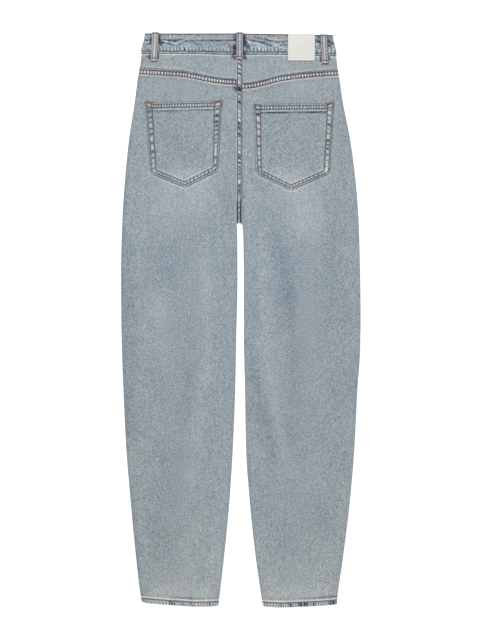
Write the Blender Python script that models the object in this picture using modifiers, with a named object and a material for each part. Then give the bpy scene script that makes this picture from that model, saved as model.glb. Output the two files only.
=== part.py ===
"""Barrel jeans laid flat on their front, with the back side up.

+X is to the right of someone looking down at the back, +Y goes to the waist and +Z is up.
The origin is on the surface, under the middle of the jeans. All sizes are in millimetres.
"down" is a distance below the tops of the belt loops. "across" runs from 0 at the left
outseam to 1 at the right one, or from 0 at a panel's outseam to 1 at its inner edge.
"""
import math
from bisect import bisect_right
from collections import namedtuple

import bmesh
import bpy
from mathutils import Vector

MILLIMETRE = 0.001

# Whole garment
LENGTH = 1040.0
CENTRE_SEAM_X = -2.8
CROTCH_DOWN = 345.0
CROTCH_EASE = 1.2

# Cloth and how it is put together
DENIM = 1.5
BAND_THICKNESS = 2.8
POCKET_THICKNESS = 1.3
LOOP_THICKNESS = 1.6
PATCH_THICKNESS = 1.2
SEAM_GAP = 0.3
FELLED_HALF_WIDTH = 5.5
FELLED_RAISE = 1.0
YOKE_SEAM_HEIGHT = 10.0
HEM_HEIGHT = 10.8
HEM_RAISE = 0.9
BAND_ROLL = 1.4
PATCH_BEVEL = 0.3
BUTTON_BEVEL = 0.5
STEP = 0.6
LEG_EDGE_RADIUS = 12.0
BAND_EDGE_RADIUS = 8.0

# Heights of the layers over the surface
LEG_TOP = 5.4
LEG_CROWN = 0.6
BAND_UNDERSIDE = LOOP_THICKNESS + SEAM_GAP
BAND_MIDDLE = BAND_UNDERSIDE + BAND_THICKNESS + SEAM_GAP / 2
BAND_TOP = BAND_MIDDLE + SEAM_GAP / 2 + BAND_THICKNESS
SET_IN = (BAND_THICKNESS - DENIM) / 2
WAIST_TOP = BAND_TOP - SET_IN
WAIST_UNDERSIDE = BAND_UNDERSIDE + SET_IN
LIFT_STARTS_DOWN = 118.0
LIFT_ENDS_DOWN = 46.0
FRONT_DIP = 11.0

Outseam = namedtuple("Outseam", "down left right")
OUTSEAM = (
    Outseam(0.0, -173.3, 166.6),
    Outseam(22.0, -175.1, 167.8),
    Outseam(38.0, -179.3, 172.0),
    Outseam(55.0, -181.7, 173.8),
    Outseam(80.0, -186.3, 178.0),
    Outseam(125.0, -192.2, 184.7),
    Outseam(200.0, -203.4, 199.1),
    Outseam(280.0, -211.0, 209.0),
    Outseam(342.0, -214.8, 213.4),
    Outseam(430.0, -217.0, 215.9),
    Outseam(510.0, -216.7, 217.0),
    Outseam(570.0, -215.6, 216.2),
    Outseam(650.0, -212.6, 210.9),
    Outseam(750.0, -207.7, 205.9),
    Outseam(850.0, -199.4, 197.4),
    Outseam(950.0, -189.8, 185.1),
    Outseam(1025.0, -180.5, 174.6),
    Outseam(1040.0, -176.4, 173.4),
)

Inseam = namedtuple("Inseam", "down left right")
INSEAM = (
    Inseam(345.0, -7.6, 2.7),
    Inseam(375.0, -6.4, 4.5),
    Inseam(450.0, -6.3, 5.4),
    Inseam(550.0, -8.3, 5.5),
    Inseam(650.0, -10.3, 7.6),
    Inseam(750.0, -14.4, 9.3),
    Inseam(850.0, -20.8, 16.3),
    Inseam(950.0, -30.4, 27.0),
    Inseam(1040.0, -41.0, 40.0),
)

# Edges of the back waistband, from the left outseam to the right one
BandEdge = namedtuple("BandEdge", "across top bottom")
BAND_EDGES = (
    BandEdge(0.00, 1.8, 38.6),
    BandEdge(0.10, 2.2, 38.9),
    BandEdge(0.25, 2.2, 39.6),
    BandEdge(0.45, 1.2, 40.4),
    BandEdge(0.60, 2.4, 40.8),
    BandEdge(0.75, 3.4, 41.4),
    BandEdge(0.90, 5.0, 42.3),
    BandEdge(1.00, 4.8, 42.6),
)

# Seam under each yoke and hem of each leg, from the outseam inwards
SeamLine = namedtuple("SeamLine", "across left right")
YOKE_SEAM = (
    SeamLine(0.00, 76.2, 79.2),
    SeamLine(0.15, 78.0, 81.2),
    SeamLine(0.30, 80.0, 83.4),
    SeamLine(0.45, 81.9, 86.6),
    SeamLine(0.60, 87.6, 91.0),
    SeamLine(0.75, 93.2, 97.9),
    SeamLine(0.90, 96.2, 103.2),
    SeamLine(1.00, 96.7, 104.2),
)
HEM = (
    SeamLine(0.00, 1031.5, 1034.5),
    SeamLine(0.25, 1034.5, 1037.2),
    SeamLine(0.50, 1036.8, 1038.6),
    SeamLine(0.75, 1038.6, 1040.0),
    SeamLine(1.00, 1037.5, 1038.3),
)

# The largest soft folds on the back of the legs: a ridge between two places
Fold = namedtuple("Fold", "side x_start down_start x_end down_end width height")
FOLDS = (
    Fold("right", 20.0, 470.0, 80.0, 800.0, 26.0, 0.7),
    Fold("right", 128.0, 420.0, 122.0, 650.0, 34.0, 0.5),
    Fold("left", -70.0, 372.0, -74.0, 590.0, 28.0, 0.6),
    Fold("left", -150.0, 440.0, -136.0, 640.0, 36.0, 0.5),
    Fold("left", -92.0, 700.0, -104.0, 900.0, 30.0, 0.5),
)

# Corners of the patch pockets, each at x and down
PocketShape = namedtuple("PocketShape", "top_outer top_inner low_inner apex low_outer")
POCKETS = {
    "left": PocketShape(
        (-173.8, 123.6), (-33.2, 122.2), (-41.4, 249.6), (-100.9, 280.2), (-163.4, 254.6)
    ),
    "right": PocketShape(
        (168.8, 125.4), (23.2, 128.6), (27.6, 254.1), (90.5, 285.2), (160.8, 254.7)
    ),
}
POCKET_HEM_HEIGHT = 13.5
POCKET_BORDER = 9.5
POCKET_RAISE = 0.6
POCKET_CELLS = 4

# Belt loops: left and right edge at the top, and again at the bottom end
Loop = namedtuple("Loop", "top left right bottom low_left low_right")
BACK_LOOPS = {
    "left": Loop(0.0, -160.6, -148.0, 51.3, -163.4, -151.2),
    "centre": Loop(0.0, -8.4, 4.4, 48.2, -8.4, 4.4),
    "right": Loop(4.3, 143.4, 155.8, 55.8, 146.4, 158.4),
}
FRONT_LOOP_OFFSET = 92.0
LOOP_WIDTH = 12.6
LOOP_LENGTH = 51.0
LOOP_OVERHANG = 1.6
LOOP_CHAMFER = 0.4
LOOP_STEP = 3.0

# Blank patch and button
PATCH_LEFT = 85.1
PATCH_RIGHT = 133.9
PATCH_TOP = 2.3
PATCH_BOTTOM = 50.8
BUTTON_RADIUS = 8.5
BUTTON_FROM_CENTRE = 3.0
BUTTON_FROM_TOP = 19.0
OVERLAP_END = 16.0

# How finely each wall is divided
EDGE_ANGLES = (0.0, 30.0, 60.0)
MIDDLE_CELLS = 7
BAND_MIDDLE_CELLS = 12
YOKE_CELLS = 3
HIP_CELLS = 4
LIFT_CELLS = 5
FRONT_HIP_ROW = 160.0
SEAT_ROWS = (200.0, 240.0, 280.0, 315.0, 330.0, 337.0, 342.0)
LEG_ROWS = (
    350.0, 358.0, 375.0, 400.0, 430.0, 470.0, 510.0, 540.0, 570.0,
    610.0, 650.0, 700.0, 750.0, 800.0, 850.0, 900.0, 950.0, 990.0,
)
SHARP_ANGLE = math.radians(35.0)

# Surface of each kind of piece: colour, roughness, metallic
FINISHES = {
    "denim": ((0.34, 0.41, 0.45, 1.0), 0.9, 0.0),
    "patch": ((0.78, 0.76, 0.72, 1.0), 0.7, 0.0),
    "button": ((0.45, 0.40, 0.33, 1.0), 0.4, 1.0),
}


def smooth(table, at, column):
    """A value of a table's column, on a curve that never overshoots between its rows."""
    keys = [row[0] for row in table]
    values = [getattr(row, column) for row in table]
    if at <= keys[0]:
        return values[0]
    if at >= keys[-1]:
        return values[-1]
    slopes = [
        (values[i + 1] - values[i]) / (keys[i + 1] - keys[i]) for i in range(len(keys) - 1)
    ]

    def tangent(i):
        if i == 0 or i == len(slopes):
            return slopes[min(i, len(slopes) - 1)]
        before, after = slopes[i - 1], slopes[i]
        if before * after <= 0.0:
            return 0.0
        return 2.0 * before * after / (before + after)

    i = bisect_right(keys, at) - 1
    span = keys[i + 1] - keys[i]
    t = (at - keys[i]) / span
    start = (2 * t ** 3 - 3 * t ** 2 + 1) * values[i] + (t ** 3 - 2 * t ** 2 + t) * span * tangent(i)
    end = (3 * t ** 2 - 2 * t ** 3) * values[i + 1] + (t ** 3 - t ** 2) * span * tangent(i + 1)
    return start + end


def ease(start, end, at):
    """0 at start, 1 at end, with no corner in between. End may lie below start."""
    t = min(max((at - start) / (end - start), 0.0), 1.0)
    return t * t * (3.0 - 2.0 * t)


def mix(start, end, share):
    return start + (end - start) * share


def point(x, down, height):
    """A place on the garment as a point in metres."""
    return Vector((x, LENGTH / 2 - down, height)) * MILLIMETRE


# Outline

def outseam(side, down):
    return smooth(OUTSEAM, down, side)


def inner_edge(side, down):
    """The centre seam above the crotch and the inseam below it."""
    outward = -1.0 if side == "left" else 1.0
    seam = CENTRE_SEAM_X + outward * SEAM_GAP / 2
    share = (down - (CROTCH_DOWN - CROTCH_EASE)) / (2 * CROTCH_EASE)
    return mix(seam, smooth(INSEAM, down, side), min(max(share, 0.0), 1.0))


def inner_roundness(down):
    """0 where two panels meet edge to edge at the centre seam, 1 along the inseam."""
    return ease(CROTCH_DOWN - 13.0, CROTCH_DOWN + 6.0, down)


def band_across(x):
    left = OUTSEAM[0].left
    return min(max((x - left) / (OUTSEAM[0].right - left), 0.0), 1.0)


def back_band_line(x, column):
    return smooth(BAND_EDGES, band_across(x), column)


def front_band_line(x, column):
    """The front of the waistband meets the back at the sides and dips between them."""
    across = band_across(x)
    side_line = mix(getattr(BAND_EDGES[0], column), getattr(BAND_EDGES[-1], column), across)
    return side_line + FRONT_DIP * math.sin(math.pi * across)


# Heights

def lifted(down):
    """0 along the legs, 1 at the waistband, which lies on its belt loops."""
    return ease(LIFT_STARTS_DOWN, LIFT_ENDS_DOWN, down)


def back_level(down):
    return mix(LEG_TOP, WAIST_TOP, lifted(down))


def front_level(down):
    return mix(0.0, WAIST_UNDERSIDE, lifted(down))


def rim_height(down):
    """Where the edges of the front and the back meet."""
    return (back_level(down) + front_level(down)) / 2


def shoulders(side, down):
    """Where a leg panel's rounded edges end and its level middle begins."""
    outward = -1.0 if side == "left" else 1.0
    outer = outseam(side, down) - outward * LEG_EDGE_RADIUS
    return outer, inner_edge(side, down) + outward * LEG_EDGE_RADIUS


def fold_height(side, x, down):
    height = 0.0
    for fold in FOLDS:
        along = (down - fold.down_start) / (fold.down_end - fold.down_start)
        if fold.side != side or not 0.0 < along < 1.0:
            continue
        away = (x - mix(fold.x_start, fold.x_end, along)) / fold.width
        height += fold.height * math.sin(math.pi * along) ** 2 * math.exp(-2.0 * away * away)
    return height


def back_top(side, x, down):
    """The outer side of the back, between the shoulders of a panel."""
    outer, inner = shoulders(side, down)
    share = min(max((x - outer) / (inner - outer), 0.0), 1.0)
    swell = math.sin(math.pi * share)
    return back_level(down) + LEG_CROWN * swell * swell + fold_height(side, x, down) * swell


# A wall of cloth: rows down the garment, columns across it

Wall = namedtuple("Wall", "edges roundness radius thickness level outer rim up")


def wall_columns(first_angles, middle_cells, last_angles):
    """Each column is a place on the first rounded edge, the middle or the last edge."""
    first = [("first", angle) for angle in first_angles]
    middle = [("middle", i / middle_cells) for i in range(middle_cells + 1)]
    last = [("last", angle) for angle in reversed(last_angles)]
    return first + middle + last


def wall_points(wall, column, down, raised=0.0, seam_raise=0.0):
    """The outer and the inner point of the wall at a column and a distance down."""
    zone, value = column
    first, last = wall.edges(down)
    toward = 1.0 if last > first else -1.0
    if zone == "middle":
        start = first + toward * wall.radius
        x = mix(start, last - toward * wall.radius, value)
        surface = wall.outer(x, down)
        outer = point(x, down, surface + wall.up * raised)
        return outer, point(x, down, surface - wall.up * wall.thickness)
    edge = first if zone == "first" else last
    inward = toward if zone == "first" else -toward
    roundness = wall.roundness(down)[0 if zone == "first" else 1]
    turn = math.radians(value)
    inset = 1.0 - math.cos(turn)
    drop = roundness * (1.0 - math.sin(turn))
    rim = roundness * wall.thickness
    depth = abs(wall.level(down) - wall.rim(down)) - SEAM_GAP / 2
    if wall.radius * inset <= FELLED_HALF_WIDTH:
        raised = max(raised, seam_raise * (1.0 - roundness))
    outer_x = edge + inward * wall.radius * inset
    inner_x = edge + inward * (rim + (wall.radius - rim) * inset)
    outer_z = wall.level(down) + wall.up * (raised * (1.0 - drop) - depth * drop)
    inner_z = wall.level(down) - wall.up * (wall.thickness + (depth - wall.thickness) * drop)
    return point(outer_x, down, outer_z), point(inner_x, down, inner_z)


def leg_wall(side, facing_up):
    def edges(down):
        return outseam(side, down), inner_edge(side, down)

    def outer(x, down):
        return back_top(side, x, down) if facing_up else front_level(down)

    return Wall(
        edges=edges,
        roundness=lambda down: (1.0, inner_roundness(down)),
        radius=LEG_EDGE_RADIUS,
        thickness=DENIM,
        level=back_level if facing_up else front_level,
        outer=outer,
        rim=rim_height,
        up=1.0 if facing_up else -1.0,
    )


def band_wall(first_edge, last_edge, roundness, facing_up):
    level = BAND_TOP if facing_up else BAND_UNDERSIDE
    return Wall(
        edges=lambda down: (first_edge(down), last_edge(down)),
        roundness=lambda down: roundness,
        radius=BAND_EDGE_RADIUS,
        thickness=BAND_THICKNESS,
        level=lambda down: level,
        outer=lambda x, down: level,
        rim=lambda down: BAND_MIDDLE,
        up=1.0 if facing_up else -1.0,
    )


def column_x(wall, column, down):
    return wall_points(wall, column, down)[0].x / MILLIMETRE


def column_across(wall, column, down):
    first, last = wall.edges(down)
    return (column_x(wall, column, down) - first) / (last - first)


# Objects

def start_collection(name):
    collection = bpy.data.collections.new(name)
    bpy.context.scene.collection.children.link(collection)
    return collection


def finish_piece(piece, finish):
    colour, roughness, metallic = FINISHES[finish]
    material = bpy.data.materials.new(piece.name)
    material.use_nodes = True
    shader = material.node_tree.nodes["Principled BSDF"]
    shader.inputs["Base Color"].default_value = colour
    shader.inputs["Roughness"].default_value = roughness
    shader.inputs["Metallic"].default_value = metallic
    material.diffuse_color = colour
    piece.data.materials.append(material)


def closed_wall(collection, name, outer_rows, inner_rows):
    """Joins an outer and an inner grid of points into one closed body."""
    build = bmesh.new()
    outer = [[build.verts.new(place) for place in row] for row in outer_rows]
    inner = [[build.verts.new(place) for place in row] for row in inner_rows]
    last_row = len(outer) - 1
    last_column = len(outer[0]) - 1
    for r in range(last_row):
        for c in range(last_column):
            build.faces.new((outer[r][c], outer[r][c + 1], outer[r + 1][c + 1], outer[r + 1][c]))
            build.faces.new((inner[r][c], inner[r + 1][c], inner[r + 1][c + 1], inner[r][c + 1]))
    for r in range(last_row):
        for c in (0, last_column):
            build.faces.new((outer[r][c], outer[r + 1][c], inner[r + 1][c], inner[r][c]))
    for c in range(last_column):
        for r in (0, last_row):
            build.faces.new((outer[r][c], outer[r][c + 1], inner[r][c + 1], inner[r][c]))
    bmesh.ops.recalc_face_normals(build, faces=build.faces)
    mesh = bpy.data.meshes.new(name)
    build.to_mesh(mesh)
    build.free()
    mesh.shade_smooth()
    mesh.set_sharp_from_angle(angle=SHARP_ANGLE)
    piece = bpy.data.objects.new(name, mesh)
    collection.objects.link(piece)
    finish_piece(piece, "denim")


def add_wall(collection, name, wall, columns, rows, seam_raise=0.0):
    """Each row gives, for a column, its distance down and how far its outside is raised."""
    outer_rows, inner_rows = [], []
    for row in rows:
        pairs = []
        for column in columns:
            down, raised = row(column)
            pairs.append(wall_points(wall, column, down, raised, seam_raise))
        outer_rows.append([pair[0] for pair in pairs])
        inner_rows.append([pair[1] for pair in pairs])
    closed_wall(collection, name, outer_rows, inner_rows)


def line_row(line, offset, raised=0.0):
    """A row along a seam, a little above or below it."""
    return lambda column: (line(column) + offset, raised)


def level_row(down):
    return lambda column: (down, 0.0)


def level_rows():
    """Rows from the seat to just above the hem, with a close pair at the crotch."""
    crotch = (CROTCH_DOWN - CROTCH_EASE, CROTCH_DOWN + CROTCH_EASE)
    return [level_row(down) for down in SEAT_ROWS + crotch + LEG_ROWS]


def between_row(line, offset, end, share):
    """A row part of the way from a seam to a level line."""
    return lambda column: (mix(line(column) + offset, end, share), 0.0)


# Pieces

def seam_line(wall, table, side):
    """A seam's distance down at a column, from its table of places across the panel."""
    at = table[0][1]
    return lambda column: smooth(table, column_across(wall, column, at), side)


def band_line_at(wall, line, edge, at):
    return lambda column: line(column_x(wall, column, at), edge)


def felled_angles():
    """Columns at the centre seam, with a pair at the step of its felled seam."""
    step_in = 1.0 - FELLED_HALF_WIDTH / LEG_EDGE_RADIUS
    step_out = 1.0 - (FELLED_HALF_WIDTH + STEP) / LEG_EDGE_RADIUS
    inside = math.degrees(math.acos(step_in)) - 0.01
    return (0.0, 30.0, inside, math.degrees(math.acos(step_out)))


def add_back_leg(collection, side):
    wall = leg_wall(side, facing_up=True)
    yoke = seam_line(wall, YOKE_SEAM, side)
    hem = seam_line(wall, HEM, side)
    top = SEAM_GAP / 2
    rows = [line_row(yoke, top)]
    rows += [between_row(yoke, top, SEAT_ROWS[0], i / HIP_CELLS) for i in range(1, HIP_CELLS)]
    rows += level_rows()
    rows += [line_row(hem, -HEM_HEIGHT - STEP), line_row(hem, -HEM_HEIGHT, HEM_RAISE)]
    rows += [line_row(hem, 0.0, HEM_RAISE)]
    columns = wall_columns(EDGE_ANGLES, MIDDLE_CELLS, felled_angles())
    add_wall(collection, "back_leg_" + side, wall, columns, rows, FELLED_RAISE)


def add_front_leg(collection, side):
    wall = leg_wall(side, facing_up=False)
    waist = band_line_at(wall, front_band_line, "bottom", LIFT_ENDS_DOWN)
    hem = seam_line(wall, HEM, side)
    top = SEAM_GAP / 2
    rows = [line_row(waist, top)]
    shares = [(i + 1) / LIFT_CELLS for i in range(LIFT_CELLS)]
    rows += [between_row(waist, top, LIFT_STARTS_DOWN, share) for share in shares]
    rows += [level_row(FRONT_HIP_ROW)] + level_rows()
    rows += [line_row(hem, -HEM_HEIGHT), line_row(hem, 0.0)]
    columns = wall_columns(EDGE_ANGLES, MIDDLE_CELLS, EDGE_ANGLES)
    add_wall(collection, "front_leg_" + side, wall, columns, rows)


def add_yoke(collection, side):
    wall = leg_wall(side, facing_up=True)
    waist = band_line_at(wall, back_band_line, "bottom", LIFT_ENDS_DOWN)
    yoke = seam_line(wall, YOKE_SEAM, side)
    above_band = -YOKE_SEAM_HEIGHT - STEP

    def open_row(share):
        return lambda column: (
            mix(waist(column) + SEAM_GAP / 2, yoke(column) + above_band, share), 0.0
        )

    rows = [open_row(i / YOKE_CELLS) for i in range(YOKE_CELLS + 1)]
    rows += [line_row(yoke, -YOKE_SEAM_HEIGHT, FELLED_RAISE)]
    rows += [line_row(yoke, -SEAM_GAP / 2, FELLED_RAISE)]
    columns = wall_columns(EDGE_ANGLES, MIDDLE_CELLS, felled_angles())
    add_wall(collection, "back_yoke_" + side, wall, columns, rows, FELLED_RAISE)


def add_band(collection, name, wall, columns, line):
    """A run of the waistband. Its top edge is a fold, so its outside rolls over there."""
    top = band_line_at(wall, line, "top", 0.0)
    bottom = band_line_at(wall, line, "bottom", LIFT_ENDS_DOWN)
    rows = [line_row(top, 0.0, -BAND_ROLL), line_row(top, BAND_ROLL / 2, -BAND_ROLL / 3)]
    rows += [line_row(top, 2 * BAND_ROLL), line_row(bottom, -SEAM_GAP / 2)]
    add_wall(collection, name, wall, columns, rows)


def add_waistband(collection):
    def left(down):
        return outseam("left", down)

    def right(down):
        return outseam("right", down)

    join = CENTRE_SEAM_X + OVERLAP_END
    half = SEAM_GAP / 2
    wall = band_wall(left, right, (1.0, 1.0), facing_up=True)
    columns = wall_columns(EDGE_ANGLES, BAND_MIDDLE_CELLS, EDGE_ANGLES)
    add_band(collection, "waistband_back", wall, columns, back_band_line)
    columns = wall_columns(EDGE_ANGLES, MIDDLE_CELLS, (0.0,))
    wall = band_wall(left, lambda down: join - half, (1.0, 0.0), facing_up=False)
    add_band(collection, "waistband_front_left", wall, columns, front_band_line)
    wall = band_wall(right, lambda down: join + half, (1.0, 0.0), facing_up=False)
    add_band(collection, "waistband_front_right", wall, columns, front_band_line)


def cell_shares(size, first_border, last_border, middle_cells):
    """Shares of a size, with a pair of lines at the step inside each border."""
    shares = [0.0, first_border / size, (first_border + STEP) / size]
    start, end = shares[-1], 1.0 - (last_border + STEP) / size
    shares += [mix(start, end, i / middle_cells) for i in range(1, middle_cells)]
    return shares + [end, 1.0 - last_border / size, 1.0]


def add_pocket(collection, side):
    shape = POCKETS[side]
    width = abs(shape.top_inner[0] - shape.top_outer[0])
    apex_share = (shape.apex[0] - shape.low_outer[0]) / (shape.low_inner[0] - shape.low_outer[0])
    across = cell_shares(width, POCKET_BORDER, POCKET_BORDER, POCKET_CELLS)
    across = sorted(across + [apex_share])

    def place(share_across, share_down):
        top = Vector(shape.top_outer).lerp(Vector(shape.top_inner), share_across)
        if share_across < apex_share:
            low = Vector(shape.low_outer).lerp(Vector(shape.apex), share_across / apex_share)
        else:
            past = (share_across - apex_share) / (1.0 - apex_share)
            low = Vector(shape.apex).lerp(Vector(shape.low_inner), past)
        return top.lerp(low, share_down)

    height = shape.apex[1] - shape.top_outer[1]
    along = cell_shares(height, POCKET_HEM_HEIGHT, POCKET_BORDER, POCKET_CELLS)
    outer_rows, inner_rows = [], []
    for r, share_down in enumerate(along):
        outer_row, inner_row = [], []
        for c, share_across in enumerate(across):
            x, down = place(share_across, share_down)
            under = back_top(side, x, down) + SEAM_GAP
            in_border = r < 2 or r > len(along) - 3 or c < 2 or c > len(across) - 3
            raised = POCKET_RAISE if in_border else 0.0
            outer_row.append(point(x, down, under + POCKET_THICKNESS + raised))
            inner_row.append(point(x, down, under))
        outer_rows.append(outer_row)
        inner_rows.append(inner_row)
    closed_wall(collection, "back_pocket_" + side, outer_rows, inner_rows)


LoopRest = namedtuple("LoopRest", "on_band on_panel band_end")


def add_loop(collection, name, loop, under, up):
    """A belt loop: a strip over the waistband, sewn down at both its ends."""
    middle = (loop.left + loop.right) / 2
    step_down = under.band_end(middle)
    step_end = step_down + LOOP_STEP
    stops = (loop.top, loop.top + LOOP_CHAMFER, step_down, step_end, loop.bottom)
    outer_rows, inner_rows = [], []
    for down in stops:
        share = (down - loop.top) / (loop.bottom - loop.top)
        left = mix(loop.left, loop.low_left, share)
        right = mix(loop.right, loop.low_right, share)
        rest = under.on_panel if down >= step_end else under.on_band
        lowered = LOOP_CHAMFER if down == loop.top else 0.0
        places = (left, left + LOOP_CHAMFER, right - LOOP_CHAMFER, right)
        drops = (LOOP_CHAMFER, lowered, lowered, LOOP_CHAMFER)
        outer_rows.append([
            point(x, down, rest + up * (LOOP_THICKNESS - drop)) for x, drop in zip(places, drops)
        ])
        inner_rows.append([point(x, down, rest) for x in places])
    closed_wall(collection, name, outer_rows, inner_rows)


def add_loops(collection):
    def back_band_end(x):
        return back_band_line(x, "bottom")

    over_seam = WAIST_TOP + FELLED_RAISE + SEAM_GAP
    for side, loop in BACK_LOOPS.items():
        rest = LoopRest(BAND_TOP + SEAM_GAP, WAIST_TOP + SEAM_GAP, back_band_end)
        if side == "centre":
            rest = LoopRest(over_seam, over_seam, back_band_end)
        add_loop(collection, "belt_loop_back_" + side, loop, rest, 1.0)
    rest = LoopRest(LOOP_THICKNESS, LOOP_THICKNESS, lambda x: front_band_line(x, "bottom"))
    for side, outward in (("left", -1.0), ("right", 1.0)):
        x = CENTRE_SEAM_X + outward * FRONT_LOOP_OFFSET
        left, right = x - LOOP_WIDTH / 2, x + LOOP_WIDTH / 2
        top = front_band_line(x, "top") - LOOP_OVERHANG
        loop = Loop(top, left, right, top + LOOP_LENGTH, left, right)
        add_loop(collection, "belt_loop_front_" + side, loop, rest, -1.0)


def round_edges(piece, width):
    bevel = piece.modifiers.new("rounded edges", "BEVEL")
    bevel.width = width * MILLIMETRE
    bevel.segments = 2
    bevel.limit_method = "ANGLE"


def take_into(collection, piece, name):
    piece.name = name
    piece.data.name = name
    for holder in list(piece.users_collection):
        holder.objects.unlink(piece)
    collection.objects.link(piece)


def add_patch(collection):
    middle = point(
        (PATCH_LEFT + PATCH_RIGHT) / 2,
        (PATCH_TOP + PATCH_BOTTOM) / 2,
        BAND_TOP + SEAM_GAP + PATCH_THICKNESS / 2,
    )
    size = Vector((PATCH_RIGHT - PATCH_LEFT, PATCH_BOTTOM - PATCH_TOP, PATCH_THICKNESS))
    bpy.ops.mesh.primitive_cube_add(size=1.0, location=middle)
    piece = bpy.context.object
    piece.scale = size * MILLIMETRE
    bpy.ops.object.transform_apply(location=False, rotation=False, scale=True)
    take_into(collection, piece, "back_patch")
    round_edges(piece, PATCH_BEVEL)
    finish_piece(piece, "patch")


def add_button(collection):
    x = CENTRE_SEAM_X + BUTTON_FROM_CENTRE
    down = front_band_line(x, "top") + BUTTON_FROM_TOP
    bpy.ops.mesh.primitive_cylinder_add(
        vertices=32,
        radius=BUTTON_RADIUS * MILLIMETRE,
        depth=LOOP_THICKNESS * MILLIMETRE,
        location=point(x, down, LOOP_THICKNESS / 2),
    )
    piece = bpy.context.object
    take_into(collection, piece, "waist_button")
    round_edges(piece, BUTTON_BEVEL)
    piece.data.shade_smooth()
    piece.data.set_sharp_from_angle(angle=SHARP_ANGLE)
    finish_piece(piece, "button")


def build_jeans():
    for old in list(bpy.data.objects):
        bpy.data.objects.remove(old, do_unlink=True)
    collection = start_collection("barrel_jeans")
    for side in ("left", "right"):
        add_front_leg(collection, side)
        add_back_leg(collection, side)
        add_yoke(collection, side)
        add_pocket(collection, side)
    add_waistband(collection)
    add_loops(collection)
    add_patch(collection)
    add_button(collection)


build_jeans()
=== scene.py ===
import math

import bmesh
import bpy
import numpy as np
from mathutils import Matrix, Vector


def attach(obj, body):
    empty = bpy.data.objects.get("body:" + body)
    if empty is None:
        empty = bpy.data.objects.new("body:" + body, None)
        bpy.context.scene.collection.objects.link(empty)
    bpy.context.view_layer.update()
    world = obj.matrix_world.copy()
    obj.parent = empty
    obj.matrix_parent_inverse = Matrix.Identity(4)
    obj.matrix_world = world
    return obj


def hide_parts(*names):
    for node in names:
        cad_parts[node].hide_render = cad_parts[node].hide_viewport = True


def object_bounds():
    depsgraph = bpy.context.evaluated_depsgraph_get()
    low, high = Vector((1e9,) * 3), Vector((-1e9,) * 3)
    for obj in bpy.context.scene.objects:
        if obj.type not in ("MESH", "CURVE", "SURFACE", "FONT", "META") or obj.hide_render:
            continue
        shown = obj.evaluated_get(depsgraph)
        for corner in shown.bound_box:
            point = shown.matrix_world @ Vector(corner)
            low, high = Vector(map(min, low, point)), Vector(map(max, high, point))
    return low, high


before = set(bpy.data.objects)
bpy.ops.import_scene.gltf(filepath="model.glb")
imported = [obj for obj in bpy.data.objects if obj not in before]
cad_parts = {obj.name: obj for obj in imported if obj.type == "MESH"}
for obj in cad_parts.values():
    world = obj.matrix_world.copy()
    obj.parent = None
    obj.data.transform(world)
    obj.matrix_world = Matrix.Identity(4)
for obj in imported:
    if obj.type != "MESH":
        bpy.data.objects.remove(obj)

cad_low, cad_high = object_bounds()


# Studio: the jeans lie on a white lit floor, back side up, under broad soft lights. The camera
# looks straight down through a long lens, with the waist at the top of the picture.
MM = 0.001
FRAME_HEIGHT_MM = 1156.5
FRAME_CENTRE_X_MM = -1.5
LENS_MM = 100.0
SENSOR_MM = 36.0
FLOOR_SIZE_M = 8.0
FLOOR_DROP_M = 0.0002
FLOOR_WHITE = "#FCFCFB"
FLOOR_GLOW = 0.45
ROOM_LIGHT = 0.55
WHITE_LIGHT = (1.0, 1.0, 1.0, 1.0)
AREA_LIGHTS = (
    # name, place, aimed at, size, power
    ("key_light", (-1.5, 2.0, 2.3), (0.0, 0.1, 0.0), 1.6, 52.0),
    ("fill_light", (1.9, -1.2, 2.6), (0.0, 0.0, 0.0), 2.2, 31.0),
)


def linear(hex_colour):
    """An sRGB hex colour as linear red, green, blue and alpha."""
    parts = [int(hex_colour[i:i + 2], 16) / 255 for i in (1, 3, 5)]
    return tuple(c / 12.92 if c <= 0.04045 else ((c + 0.055) / 1.055) ** 2.4 for c in parts) + (1.0,)


def deselect():
    for thing in bpy.context.selected_objects:
        thing.select_set(False)


def new_material(name):
    material = bpy.data.materials.new(name)
    material.use_nodes = True
    return material, material.node_tree, material.node_tree.nodes["Principled BSDF"]


deselect()
bpy.ops.mesh.primitive_plane_add(size=FLOOR_SIZE_M, location=(0.0, 0.0, -FLOOR_DROP_M))
floor = bpy.context.object
floor.name = "studio_floor"
paint, tree, shader = new_material("matt_white_paint")
shader.inputs["Base Color"].default_value = linear(FLOOR_WHITE)
shader.inputs["Roughness"].default_value = 0.95
shader.inputs["Emission Color"].default_value = WHITE_LIGHT
shader.inputs["Emission Strength"].default_value = FLOOR_GLOW
floor.data.materials.append(paint)

for light_name, place, target, size, power in AREA_LIGHTS:
    light = bpy.data.lights.new(light_name, "AREA")
    light.size = size
    light.energy = power
    lamp = bpy.data.objects.new(light_name, light)
    lamp.location = place
    lamp.rotation_euler = (Vector(target) - Vector(place)).to_track_quat("-Z", "Y").to_euler()
    bpy.context.scene.collection.objects.link(lamp)

world = bpy.data.worlds.new("soft_room_light")
world.use_nodes = True
world.node_tree.nodes["Background"].inputs["Color"].default_value = WHITE_LIGHT
world.node_tree.nodes["Background"].inputs["Strength"].default_value = ROOM_LIGHT
bpy.context.scene.world = world

camera_data = bpy.data.cameras.new("camera_over_the_back")
camera_data.lens = LENS_MM
camera_data.sensor_width = SENSOR_MM
camera = bpy.data.objects.new("camera_over_the_back", camera_data)
rise = FRAME_HEIGHT_MM * MM / 2 / (SENSOR_MM / 2 / LENS_MM)
camera.location = (FRAME_CENTRE_X_MM * MM, 0.0, rise + cad_high.z)
bpy.context.scene.collection.objects.link(camera)
bpy.context.scene.camera = camera
bpy.context.scene.view_settings.view_transform = "Standard"


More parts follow.
